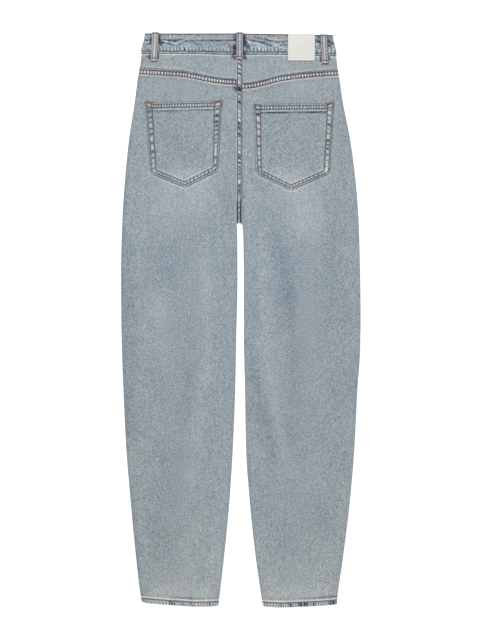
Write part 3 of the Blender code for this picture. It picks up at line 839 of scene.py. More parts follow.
def sew(
    name, rows, surface, thread, up=1.0, pitch=STITCH_LENGTH + STITCH_GAP, width=STITCH_WIDTH,
    bar_width=None,
):
    """Stitches along rows of points on a surface. With bar_width they lie across the row."""
    lengthwise, sideways, outward = STITCH_POINTS[:, 2], STITCH_POINTS[:, 0], STITCH_POINTS[:, 1]
    rise = STITCH_WIDTH * (0.32 * outward + 0.16)
    places = []
    for row in rows:
        length = path_length(row)
        count = max(1, round(length / pitch))
        middles = ((np.arange(count) + 0.5) * length / count)[:, None]
        if bar_width is None:
            centre, toward = path_points(row, middles + lengthwise * STITCH_LENGTH / 2)
            flat = centre + crosswise(toward) * (sideways * width / 2)[:, None]
        else:
            middle, toward = path_points(row, middles)
            centre = middle + crosswise(toward) * (lengthwise * bar_width / 2)[:, None]
            flat = centre + toward * (sideways * width / 2 * BAR_FLATNESS)[:, None]
        height = surface(centre[..., 0], centre[..., 1]) + up * rise
        places.append(metres(flat[..., 0], flat[..., 1], height).reshape(-1, 3))
    places = np.concatenate(places)
    faces = [
        tuple(corner + first for corner in face)
        for first in range(0, len(places), len(STITCH_POINTS)) for face in STITCH_FACES
    ]
    mesh = bpy.data.meshes.new(name)
    mesh.from_pydata(places.tolist(), [], faces)
    build = bmesh.new()
    build.from_mesh(mesh)
    bmesh.ops.recalc_face_normals(build, faces=build.faces)
    build.to_mesh(mesh)
    build.free()
    mesh.shade_smooth()
    mesh.materials.append(thread)
    stitches = bpy.data.objects.new(name, mesh)
    bpy.context.scene.collection.objects.link(stitches)
    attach(stitches, "root")
    return stitches


# Felled seams: under the yokes and down the centre of the back, the two turnings are folded
# into each other and sewn through with two rows. They shrank, so they rope between the rows.
FELLED_RAISE = 1.0
FELLED_DEPTH = 1.9
FELLED_HALF_WIDTH = 5.6
YOKE_ROWS = (
    # across from the outseam, down to the left upper and lower row, and to the right ones
    (0.00, 3.3, 9.9, 2.9, 9.2),
    (0.20, 3.1, 9.9, 2.5, 9.1),
    (0.45, 2.5, 9.8, 1.8, 8.9),
    (0.80, 1.5, 8.6, 1.6, 8.9),
    (1.00, 1.4, 8.5, 1.6, 8.9),
)
CENTRE_ROWS = (2.3, 9.0)
CROTCH_ROW = 7.8
CENTRE_TOP = 40.6
CENTRE_DARK = (
    # down, half length, depth of each dark patch
    # The first patch, just under the end of the centre loop, is painted shadow.
    (50.2, 1.6, 0.50), (57.0, 2.2, 0.20), (67.0, 1.6, 0.30), (74.0, 1.8, 0.30), (81.0, 1.8, 0.25),
    (103.0, 4.2, 0.52), (113.0, 1.8, 0.22), (125.0, 3.6, 0.42), (132.5, 1.8, 0.30), (165.5, 3.2, 0.40),
    (173.0, 2.4, 0.45), (182.5, 2.4, 0.42), (188.5, 1.8, 0.32), (206.0, 1.8, 0.25), (220.6, 1.5, 0.28),
    (226.0, 2.4, 0.46), (235.4, 1.9, 0.36), (242.0, 1.9, 0.36), (249.8, 1.9, 0.36), (256.5, 1.9, 0.34),
    (262.0, 1.6, 0.20), (278.0, 2.4, 0.42), (286.5, 2.6, 0.44), (294.0, 2.0, 0.24), (307.0, 1.8, 0.16),
    (316.5, 1.8, 0.16), (326.0, 1.8, 0.14), (334.0, 1.8, 0.16),
)
YOKE_PITCH = 5.3
CENTRE_PITCH = 8.6
SEAM_CELL = 1.3
CENTRE_DEPTH = 0.9
# A row of stitches sinks into a groove, and the cloth in it is darker: partly indigo that the wash missed,
# partly painted shade.
ROW_DEPTH = 0.22
ROW_HALF_WIDTH = 0.6
ROW_SHADE_HALF_WIDTH = 1.1
EDGE_CUT = 0.35
# The ends of the rows of both yoke seams, run onto the centre seam.
YOKE_ROW_ENDS = (
    ((-8.6, 86.4), (-4.4, 87.6)),
    ((-8.6, 93.8), (-5.2, 95.2)),
    ((3.0, 91.2), (-1.6, 90.0)),
    ((3.0, 101.4), (-1.0, 100.8)),
)


def path(x, down):
    """Points of a line on the garment, each an x and a down."""
    return np.stack(np.broadcast_arrays(x, down), axis=-1)


def roping(run, pitch, seed):
    """Uneven ridges across a seam that shrank: 0.7 on their broad tops, to -1.3 between them."""
    wander = 1.1 * np.sin(run / 31.0 + seed) + 0.8 * np.sin(run / 9.7 + 2.1 * seed)
    wander = wander + 0.5 * np.sin(run / 4.3 + 5.0 * seed)
    depth = 0.74 + 0.26 * np.sin(run / 17.0 + 3.7 * seed) * np.sin(run / 5.7 + seed)
    between_ridges = (0.5 - 0.5 * np.sin(2 * math.pi * run / pitch + wander)) ** 2.5
    return depth * (0.7 - 2.0 * between_ridges)


def between(off, rows):
    return np.sin(math.pi * np.clip((off - rows[0]) / (rows[1] - rows[0]), 0.0, 1.0)) ** 0.6


def thinned(away):
    """Thick sewing flattens at the edge of a leg."""
    return 1.0 - np.exp(-away / 1.6)


def seam_profile(off, width, rows, first_edge, last_edge, sunk):
    """Relief and fade across a seam: edges rubbed pale or darkened with painted shadow, and a groove at
    each row, darkened partly with painted shade.
    """
    relief = -EDGE_CUT * (bell(off, 0.5) + bell(width - off, 0.5))
    fade = first_edge * bell(off - 0.2, 1.1) + last_edge * bell(width - 0.2 - off, 1.1)
    for row in rows:
        relief = relief - ROW_DEPTH * bell(off - row, ROW_HALF_WIDTH)
        fade = fade - sunk * bell(off - row, ROW_SHADE_HALF_WIDTH)
    return relief, fade


def yoke_rows(side, x):
    """How far below the top of the yoke seam its two rows run at x."""
    across = across_panel(side, x, YOKE_MEAN)
    return along(YOKE_ROWS, 2 * side - 1, across), along(YOKE_ROWS, 2 * side, across)


def yoke_seam_form(side, x, down):
    """Height and fade of the seam under a yoke."""
    off = down - (seam_down(YOKE_SEAM, side, x) - YOKE_SEAM_TOP)
    run = edges_away(side, x, down)[0]
    rows = yoke_rows(side, x)
    relief, fade = seam_profile(off, YOKE_SEAM_TOP - SEAM_GAP / 2, rows, -0.14, 0.50, 0.58)
    rope = roping(run, YOKE_PITCH, 1.3 * side) * between(off, rows)
    height = back_top(side, x, down) + thinned(run) * (FELLED_RAISE + relief + 0.26 * rope)
    fade = fade + 0.67 * rope - 0.01 + 0.05 * np.sin(run / 19.0 + side)
    return height, washed(x, down) + fade + edge_painted_shade(side, x, down)


def both_sides(surface, x, down):
    """A surface of the left leg up to the centre seam, and that of the right leg past it."""
    left = surface(LEFT, np.minimum(x, CENTRE_SEAM - SEAM_GAP / 2), down)
    right = surface(RIGHT, np.maximum(x, CENTRE_SEAM + SEAM_GAP / 2), down)
    return np.where(x < CENTRE_SEAM, left, right)


def centre_rows(down):
    """How far across the centre seam its two rows run: they close in towards the crotch."""
    closing = (CROTCH_ROW - CENTRE_ROWS[1]) * ease(285.0, 312.0, down)
    return CENTRE_ROWS[0] + 0.0 * down, CENTRE_ROWS[1] + closing


def centre_seam_form(x, down):
    """Height and fade of the seam down the centre of the back."""
    off = x - (CENTRE_SEAM - FELLED_HALF_WIDTH)
    rows = centre_rows(down)
    sunk = 0.31 + 0.41 * ease(296.0, 310.0, down)
    relief, fade = seam_profile(off, 2 * FELLED_HALF_WIDTH, rows, 0.24, -0.06, sunk)
    inside = between(off, rows)
    # The ridges lean to the left over the seat and to the right towards the crotch.
    leaning = down - (0.55 - 1.15 * ease(225.0, 280.0, down)) * (off - FELLED_HALF_WIDTH)
    dark = 1.3 * marks(leaning, CENTRE_DARK) * inside ** 2
    rope = roping(leaning, CENTRE_PITCH, 0.7) * inside * (1.0 - 0.8 * ease(290.0, 306.0, down))
    # Both yoke seams run into this one, over its left edge and its right one.
    crossing = ease(80.0, 87.0, down) * ease(110.0, 103.0, down)
    left_yoke = ease(83.0, 85.0, down) * ease(98.0, 96.0, down) * ease(3.0, 1.5, off)
    right_yoke = ease(90.5, 92.5, down) * ease(105.5, 103.5, down) * ease(8.5, 10.0, off)
    blot = bell(down - 101.0, 4.5) * (0.5 + 0.5 * np.sin(down * 1.9 + 1.3 * off))
    height = both_sides(back_top, x, down) + FELLED_RAISE + relief
    height = height + 0.85 * crossing + 0.12 * rope - 0.5 * dark
    fade = fade + 0.34 * rope - 1.6 * dark + 0.17 * inside - 0.34 * left_yoke + 0.1 * right_yoke
    return height, washed(x, down) + fade - 0.75 * blot - 0.08 * ease(290.0, 310.0, down)


def on_centre_seam(x, down):
    return centre_seam_form(x, down)[0]


for side_name, side in SIDES:
    x = seam_columns(side, YOKE_MEAN, SEAM_CELL)
    off = steps(0.0, (0.6, 0.3), (YOKE_SEAM_TOP - 0.75, 0.7), (YOKE_SEAM_TOP - SEAM_GAP / 2, 0.3))
    down = seam_down(YOKE_SEAM, side, x) - YOKE_SEAM_TOP + off[:, None]
    x = panel_columns(side, down, SEAM_CELL)
    height, fade = yoke_seam_form(side, x, down)
    yoke_seam = cloth(
        "yoke_seam_" + side_name, metres(x, down, height), fade, FELLED_DEPTH, rubbed_denim,
        flip=side == LEFT,
    )
    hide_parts("back_yoke_" + side_name)
    top = seam_down(YOKE_SEAM, side, x[0]) - YOKE_SEAM_TOP
    yoke_stitches = sew(
        "yoke_seam_stitches_" + side_name,
        [path(x[0], top + row)[1:-3] for row in yoke_rows(side, x[0])],
        lambda x, down: yoke_seam_form(side, x, down)[0], tan_thread,
    )

x = CENTRE_SEAM + steps(-FELLED_HALF_WIDTH, (-5.0, 0.3), (5.0, 0.67), (FELLED_HALF_WIDTH, 0.3))
down = steps(CENTRE_TOP, (344.8, 1.25))[:, None]
x = np.broadcast_to(x, (len(down), len(x)))
height, fade = centre_seam_form(x, down)
centre_seam = cloth(
    "centre_back_seam", metres(x, down, height), fade, CENTRE_DEPTH, rubbed_denim, flip=True,
)
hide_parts("back_leg_left")
seam_left = CENTRE_SEAM - FELLED_HALF_WIDTH
upper, lower = (
    [path(seam_left + row, run) for row in centre_rows(run)]
    for run in (np.arange(50.5, 305.0, 2.0), np.arange(304.0, 345.0, 2.0))
)
sew("centre_seam_stitches", upper, on_centre_seam, grey_thread)
sew("yoke_row_ends", YOKE_ROW_ENDS, on_centre_seam, bar_thread, width=2.0)
sew("crotch_stitches", lower, on_centre_seam, dark_thread, pitch=2.9, width=2.7)


# Patch pockets: a five-sided piece of denim, hemmed along its mouth and turned under round
# the rest. Two rows of stitches hold it, and thick bars of thread lock its upper corners.
POCKET_THICKNESS = 1.3
POCKET_HEM = 13.9
POCKET_RAISE = 0.6
POCKET_CELL = 1.35
MOUTH_ROWS = (3.3, 9.4)
OUTER, INNER = 0, 1
LOW_ROWS = {LEFT: (3.9, 8.8), RIGHT: (3.7, 8.2)}
LOW_ROPE = {LEFT: 0.52, RIGHT: 0.34}
SIDE_ROWS = {
    # inset of each row down the outer and the inner side, at its top and its foot
    LEFT: (((2.5, 2.5), (10.9, 9.9)), ((2.5, 2.5), (12.9, 7.6))),
    RIGHT: (((2.3, 2.3), (11.2, 9.7)), ((3.2, 3.0), (11.6, 9.0))),
}
MOUTH_DIP = {LEFT: 3.8, RIGHT: 2.8}
MOUTH_SHADE = {LEFT: 0.34, RIGHT: 0.66}
SIDES_DRAWN_IN = {LEFT: 1.3, RIGHT: 0.3}
POCKET_DARK = {
    # down, half length and depth of each dark patch along the outer side, then the inner one
    LEFT: ((
        (138.0, 2.6, 0.30), (144.0, 2.6, 0.42), (154.5, 2.4, 0.46), (163.0, 2.2, 0.42), (175.0, 2.4, 0.44),
        (184.5, 2.4, 0.46), (200.5, 3.2, 0.38), (216.0, 3.4, 0.42), (227.5, 2.4, 0.40), (237.0, 2.0, 0.25),
        (246.0, 2.4, 0.30),
    ), (
        (137.5, 2.4, 0.36), (149.5, 3.4, 0.50), (160.5, 2.8, 0.52), (168.0, 2.4, 0.46), (176.0, 2.2, 0.44),
        (184.0, 2.0, 0.42), (192.0, 1.8, 0.34), (198.5, 2.0, 0.40), (206.0, 1.8, 0.26), (226.0, 2.6, 0.36),
        (240.0, 2.8, 0.44), (249.0, 2.0, 0.35),
    )),
    RIGHT: ((
        (141.0, 2.0, 0.26), (151.0, 2.0, 0.40), (159.0, 1.6, 0.20), (167.0, 2.6, 0.52), (175.0, 1.8, 0.30),
        (183.0, 2.0, 0.36), (196.0, 2.6, 0.54), (204.0, 2.0, 0.42), (211.0, 2.4, 0.50), (221.0, 2.0, 0.36),
        (232.0, 1.8, 0.20), (243.0, 1.8, 0.22),
    ), (
        (139.5, 1.6, 0.40), (147.5, 3.0, 0.58), (163.0, 2.2, 0.42), (174.0, 1.8, 0.34), (187.0, 2.4, 0.44),
        (195.0, 1.6, 0.22), (205.0, 2.4, 0.46), (213.0, 1.6, 0.24), (222.0, 1.6, 0.24), (230.0, 2.0, 0.38),
        (243.0, 2.2, 0.42), (249.0, 1.8, 0.30),
    )),
}
# Marks in from the edges and past the lower rows: distance, half width, change of fade.
# Round the edges: a pale line just inside, and painted shadow at the very edge.
POCKET_EDGE_LINE_AND_SHADOW = ((1.3, 0.7, 0.26), (0.0, 0.7, -0.42))
# Painted shadow along the lower edges.
POCKET_LOW_EDGE_SHADOW = ((0.0, 0.55, -0.70),)
PAST_LOW_ROWS = ((3.0, 1.2, 0.16),)
CORNER_BARS = (
    # upper corner, then how far in and down a bar starts and ends
    (OUTER, 0.9, 2.4, 16.0, 3.4),
    (INNER, 0.9, 2.0, 13.5, 3.0),
    (OUTER, 2.0, 3.8, 3.0, 11.5),
    (INNER, 2.0, 3.4, 2.9, 11.0),
)


def mouth_dip(side, across):
    """How far the mouth sags between its locked corners."""
    inside = np.clip(across, 0.0, 1.0)
    return MOUTH_DIP[side] * ease(0.0, 0.12, inside) * ease(1.0, 0.9, inside) * (1.0 - 0.55 * inside)


def drawn_in(side, low_share):
    """How far the sewing has drawn the sides in, most of all just under the mouth."""
    inside = np.clip(low_share, 0.0, 1.0)
    return SIDES_DRAWN_IN[side] * ease(0.0, 0.12, inside) * (1.0 - 0.9 * inside ** 1.5)


def pocket_lines(side, x, down):
    """Distances in from the mouth, the outer and inner sides and the lower edges."""
    upper_outer, upper_inner, lower_inner, lowest, lower_outer = POCKET_CORNERS[side]

    def from_line(start, end):
        run_x, run_down = end[0] - start[0], end[1] - start[1]
        off = (x - start[0]) * run_down - (down - start[1]) * run_x
        return INWARD[side] * off / math.hypot(run_x, run_down)

    low_share = (down - upper_outer[1]) / (lower_outer[1] - upper_outer[1])
    across = (x - upper_outer[0]) / (upper_inner[0] - upper_outer[0])
    mouth = from_line(upper_inner, upper_outer) - mouth_dip(side, across)
    outer = from_line(upper_outer, lower_outer) - drawn_in(side, low_share)
    inner = from_line(lower_inner, upper_inner) - drawn_in(side, low_share)
    low = np.minimum(from_line(lower_outer, lowest), from_line(lowest, lower_inner))
    return mouth, outer, inner, low, np.clip(low_share, 0.0, 1.0)


def pocket_form(side, x, down):
    """Height and fade of a pocket's outside."""
    mouth, outer, inner, low, low_share = pocket_lines(side, x, down)
    outer_rows, inner_rows = (
        [first + (last - first) * low_share for first, last in SIDE_ROWS[side][place]]
        for place in (OUTER, INNER)
    )
    low_rows = LOW_ROWS[side]
    border = ease(POCKET_HEM + 0.7, POCKET_HEM, mouth)
    for past in (outer - outer_rows[1], inner - inner_rows[1], low - low_rows[1]):
        border = np.maximum(border, ease(1.5, 0.8, past))
    edge = np.minimum(mouth, np.minimum(outer, inner))
    relief = -0.5 * bell(np.maximum(np.minimum(edge, low), 0.0), 0.5)
    fade = marks(edge, POCKET_EDGE_LINE_AND_SHADOW) + marks(low, POCKET_LOW_EDGE_SHADOW) + marks(low - low_rows[1], PAST_LOW_ROWS)
    # Each line of the border has its own rows, within the corners that they share.
    within = [(outer > outer_rows[n]) & (inner > inner_rows[n]) for n in (0, 1)]
    for n in (0, 1):
        in_sides = (mouth > 1.0) & (low > low_rows[n])
        for off, where in (
            (mouth - MOUTH_ROWS[n], within[0]), (low - low_rows[n], within[n]),
            (outer - outer_rows[n], in_sides), (inner - inner_rows[n], in_sides),
        ):
            # Each row's groove is painted darker: partly unfaded cloth, partly painted shade.
            groove = bell(off, ROW_SHADE_HALF_WIDTH) * where
            relief = relief - ROW_DEPTH * groove
            fade = fade - 0.40 * groove
    mouth_rope = roping(x, 4.9, 0.9 * side) * between(mouth, MOUTH_ROWS) * within[1]
    in_low = between(low, low_rows) * within[0]
    low_rope = roping(x, 6.4, 2.2 * side) * in_low * (0.30 + 0.70 * ease(-110.0, -90.0, x))
    dark = 0.0
    for place, off, rows, lean in ((OUTER, outer, outer_rows, 0.35), (INNER, inner, inner_rows, -0.35)):
        inside = between(off, rows) * (mouth > 2.0) * ease(0.5, 3.0, low)
        dark = dark + 1.1 * marks(down + lean * (off - 5.0), POCKET_DARK[side][place]) * inside ** 2
        fade = fade + 0.24 * inside
    relief = relief + 0.16 * (mouth_rope + low_rope) - 0.4 * dark
    fade = fade + 0.60 * mouth_rope + LOW_ROPE[side] * low_rope + 0.06 * in_low - 1.6 * dark
    # Below the fold of the hem lies painted shadow, a dark line on the pocket, under a pale line along the
    # fold.
    fold_line_and_shadow = 0.32 * bell(mouth - POCKET_HEM + 1.4, 1.0)
    fold_line_and_shadow = fold_line_and_shadow - MOUTH_SHADE[side] * bell(mouth - POCKET_HEM - 1.6, 1.5)
    fade = fade + fold_line_and_shadow * within[1] * (0.75 + 0.25 * np.sin(x / 11.0 + side))
    height = back_top(side, x, down) + SEAM_GAP + POCKET_THICKNESS + POCKET_RAISE * border + relief
    return height, washed(x, down) - 0.01 + fade


def pocket_place(side, across, low_share):
    """x and down of a place on a pocket, by its shares across and down."""
    upper_outer, upper_inner, lower_inner, lowest, lower_outer = np.array(POCKET_CORNERS[side])
    lowest_share = (lowest[0] - lower_outer[0]) / (lower_inner[0] - lower_outer[0])
    top = upper_outer + (upper_inner - upper_outer) * across[:, None]
    top[:, 1] += mouth_dip(side, across)
    first = lower_outer + (lowest - lower_outer) * (across / lowest_share)[:, None]
    last = lowest + (lower_inner - lowest) * ((across - lowest_share) / (1.0 - lowest_share))[:, None]
    low = np.where((across < lowest_share)[:, None], first, last)
    # The sewing has rounded the lower corners and the point.
    width = abs(upper_inner[0] - upper_outer[0])
    low[:, 1] -= 2.0 * (np.exp(-across * width / 2.2) + np.exp(-(1.0 - across) * width / 2.2))
    low[:, 1] -= 1.2 * np.exp(-np.abs(across - lowest_share) * width / 2.5)
    place = top[None] + (low - top)[None] * low_share[:, None, None]
    side_share = (place[..., 1] - upper_outer[1]) / (lower_outer[1] - upper_outer[1])
    x = place[..., 0] + INWARD[side] * drawn_in(side, side_share) * (1.0 - 2.0 * across)
    return x, place[..., 1]


def inset_corner(before, corner, after, inset_before, inset_after):
    """Where two edges meet once each is moved inwards."""
    before, corner, after = np.array((before, corner, after))
    first = (corner - before) / np.hypot(*(corner - before))
    second = (after - corner) / np.hypot(*(after - corner))
    turn = np.sign(first[0] * second[1] - first[1] * second[0])
    moved = corner + turn * crosswise(first) * inset_before
    other = corner + turn * crosswise(second) * inset_after
    lengths = np.linalg.solve(np.array((first, -second)).T, other - moved)
    return moved + first * lengths[0]


def pocket_rows(side, width):
    """The two rows round a pocket and the two along its mouth."""
    upper_outer, upper_inner, lower_inner, lowest, lower_outer = POCKET_CORNERS[side]
    rows = []
    for n, low_inset in enumerate(LOW_ROWS[side]):
        outer_in, inner_in = (rows_in[n] for rows_in in SIDE_ROWS[side])
        turns = [
            inset_corner(lower_outer, upper_outer, upper_inner, outer_in[0], MOUTH_ROWS[0]),
            inset_corner(upper_outer, lower_outer, lowest, outer_in[1], low_inset),
            inset_corner(lower_outer, lowest, lower_inner, low_inset, low_inset),
            inset_corner(lowest, lower_inner, upper_inner, low_inset, inner_in[1]),
            inset_corner(lower_inner, upper_inner, upper_outer, inner_in[0], MOUTH_ROWS[0]),
        ]
        sides = []
        for corner, toward, inward in (
            (turns[0], turns[1], INWARD[side]), (turns[4], turns[3], -INWARD[side]),
        ):
            run = corner + (toward - corner) * np.linspace(0.0, 1.0, 40)[:, None]
            share = (run[:, 1] - upper_outer[1]) / (lower_outer[1] - upper_outer[1])
            run[:, 0] += inward * drawn_in(side, share)
            sides.append(run[:-1])
        # The machine turns each lower corner in two stitches.
        middle = [
            corner + (end - corner) / np.hypot(*(end - corner)) * 2.2
            for before, corner, after in zip(turns, turns[1:], turns[2:]) for end in (before, after)
        ]
        rows.append(np.concatenate((sides[0], middle, sides[1][::-1])))
    outer_end, inner_end = (SIDE_ROWS[side][place][0][0] / width for place in (OUTER, INNER))
    x, down = pocket_place(side, np.linspace(outer_end, 1.0 - inner_end, 60), np.zeros(1))
    return rows + [path(x[0], down[0] + row) for row in MOUTH_ROWS]


def corner_line(side, corner, start_in, start_down, end_in, end_down):
    """A short row at an upper corner, by its distances in and down from the corner."""
    x, down = POCKET_CORNERS[side][corner]
    inward = INWARD[side] if corner == OUTER else -INWARD[side]
    return [(x + inward * start_in, down + start_down), (x + inward * end_in, down + end_down)]


for side_name, side in SIDES:
    upper_outer, upper_inner, lower_inner, lowest, lower_outer = POCKET_CORNERS[side]
    width = abs(upper_inner[0] - upper_outer[0])
    length = lowest[1] - upper_outer[1]
    lowest_share = (lowest[0] - lower_outer[0]) / (lower_inner[0] - lower_outer[0])
    edge, step = 0.5 / width, POCKET_CELL / width
    across = steps(0.0, (2 * edge, edge), (lowest_share, step), (1.0 - 2 * edge, step), (1.0, edge))
    edge, step = 0.5 / length, POCKET_CELL / length
    low_share = steps(0.0, (2 * edge, edge), (1.0 - 2 * edge, step), (1.0, edge))
    x, down = pocket_place(side, across, low_share)
    height, fade = pocket_form(side, x, down)
    under = back_top(side, x, down) + 0.1
    pocket = cloth(
        "back_pocket_shell_" + side_name, metres(x, down, height), fade, POCKET_THICKNESS,
        pocket_denim, flip=side == LEFT, under=metres(x, down, under),
    )
    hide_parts("back_pocket_" + side_name)

    surface = lambda x, down: pocket_form(side, x, down)[0]
    stitches = sew("pocket_stitches_" + side_name, pocket_rows(side, width), surface, tan_thread)
    bars = [corner_line(side, *bar) for bar in CORNER_BARS]
    corner_bars = sew(
        "pocket_corner_bars_" + side_name, bars, surface, bar_thread, pitch=BAR_PITCH, bar_width=2.4,
    )
    # The inner rows start with a few close stitches in the same thread as the bars.
    insets = [(place, SIDE_ROWS[side][place][1][0]) for place in (OUTER, INNER)]
    starts = [corner_line(side, place, inset, 3.6, inset + 0.5, 12.4) for place, inset in insets]
    corner_stitches = sew("pocket_corner_stitches_" + side_name, starts, surface, bar_thread, width=1.9)


# Hems: each leg ends in a narrow double fold, sewn round with one row in tan thread. The
# fold twisted as it shrank, so short slanting ridges run from the row to the edge.
HEM_RAISE = 0.9
HEM_ROW = 8.0
HEM_PITCH = 4.9
HEM_DEPTH = 1.9
HEM_CELL = 1.5
HEM_DARK = {
    # in from the outseam, half length, depth of each dark patch
    LEFT: ((52.0, 3.0, 0.34), (58.0, 2.0, 0.22), (74.0, 2.6, 0.22), (92.0, 2.4, 0.20), (121.0, 2.4, 0.20)),
    RIGHT: (
        (5.0, 4.0, 0.45), (12.0, 2.0, 0.30), (42.0, 2.6, 0.26), (56.0, 3.4, 0.48), (64.0, 3.0, 0.46),
        (82.0, 3.0, 0.36), (101.0, 2.4, 0.20),
    ),
}
OUTER_CORNER_WORN = {LEFT: 2.8, RIGHT: 0.4}


def hem_form(side, x, down, up):
    """Height and fade of a hem on the back, where up is 1, or the front, where it is -1."""
    off = np.maximum(seam_down(HEM, side, x) - down, 0.0)
    run, inner_run = edges_away(side, x, down)
    leaning = run + INWARD[side] * (0.2 + 0.35 * np.sin(run / 13.0 + side)) * off
    low = ease(HEM_ROW - 0.6, HEM_ROW - 1.8, off) * ease(-0.4, 1.0, off)
    rope = roping(leaning, HEM_PITCH, 1.9 * side + 0.5 * up) * low
    dark = marks(leaning, HEM_DARK[side]) * low if up > 0 else 0.0
    groove = bell(off - HEM_ROW, ROW_SHADE_HALF_WIDTH)
    relief = 0.24 * rope - ROW_DEPTH * groove - 0.3 * dark - 0.4 * bell(off, 0.6)
    fold = bell(off - HEM_HEIGHT, 0.5)
    # The row's groove is painted darker: partly unfaded cloth, partly painted shade.
    fade = washed(x, down) + 0.02 + 0.45 * rope - 1.5 * dark - 0.46 * groove
    fade = fade + 0.45 * bell(off - HEM_HEIGHT, 1.2) + edge_painted_shade(side, x, down)
    thickness = thinned(run) * thinned(inner_run)
    if up > 0:
        return back_top(side, x, down) + thickness * (HEM_RAISE + relief - 0.35 * fold), fade
    return front_under(side, x, down) - thickness * np.minimum(relief - 0.25 * fold, 0.0), fade


for side_name, side in SIDES:
    x = seam_columns(side, HEM_MEAN - 5.0, HEM_CELL)
    hem = seam_down(HEM, side, x)
    # The ridges end in small bumps along the edge, and wear has rounded its corners.
    run, inner_run = edges_away(side, x, HEM_MEAN)
    bumps = 0.3 + 0.8 * roping(run, HEM_PITCH, 1.9 * side + 0.5)
    worn_off = OUTER_CORNER_WORN[side] * np.exp(-run / 3.0) + 1.6 * np.exp(-inner_run / 2.0)
    off = HEM_HEIGHT - steps(0.0, (0.8, 0.4), (HEM_HEIGHT - 0.8, 0.75), (HEM_HEIGHT, 0.4))[:, None]
    down = hem - off + bumps * ease(3.0, 0.0, off) - worn_off * ease(9.0, 0.0, off)
    x = panel_columns(side, down, HEM_CELL)
    back_height, back_fade = hem_form(side, x, down, 1.0)
    front_height, front_fade = hem_form(side, x, down, -1.0)
    # Round the leg from the inseam: over the back, round the outseam and along the front.
    points = np.concatenate((
        metres(x, down, back_height)[:, ::-1], metres(x, down, front_height),
    ), axis=1)
    fade = np.concatenate((back_fade[:, ::-1], front_fade), axis=1)
    hem_band = cloth("hem_band_" + side_name, points, fade, HEM_DEPTH, hem_denim, flip=side == RIGHT)
    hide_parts("back_leg_" + side_name)
    row = path(x[4], hem[0] - HEM_ROW)[2:-2]
    back_stitches = sew(
        "hem_stitches_back_" + side_name, [row], lambda x, down: hem_form(side, x, down, 1.0)[0],
        hem_thread, width=2.1,
    )
    front_stitches = sew(
        "hem_stitches_front_" + side_name, [row], lambda x, down: hem_form(side, x, down, -1.0)[0] + 0.2,
        hem_thread, up=-1.0, width=2.0,
    )


# Waistband: a straight strip of denim folded double along its top edge, sewn on round the
# whole waist. The belt loops dragged it into creases, and it roped above its lower row.
BAND_TURN = 8.0
BAND_WALL = 2.5
BAND_ROLL = 1.4
BAND_JOIN = 13.2
BAND_ROW_TOP = 1.5
BAND_ROW_BOTTOM = 4.2
BAND_STITCH_WIDTH = 1.7
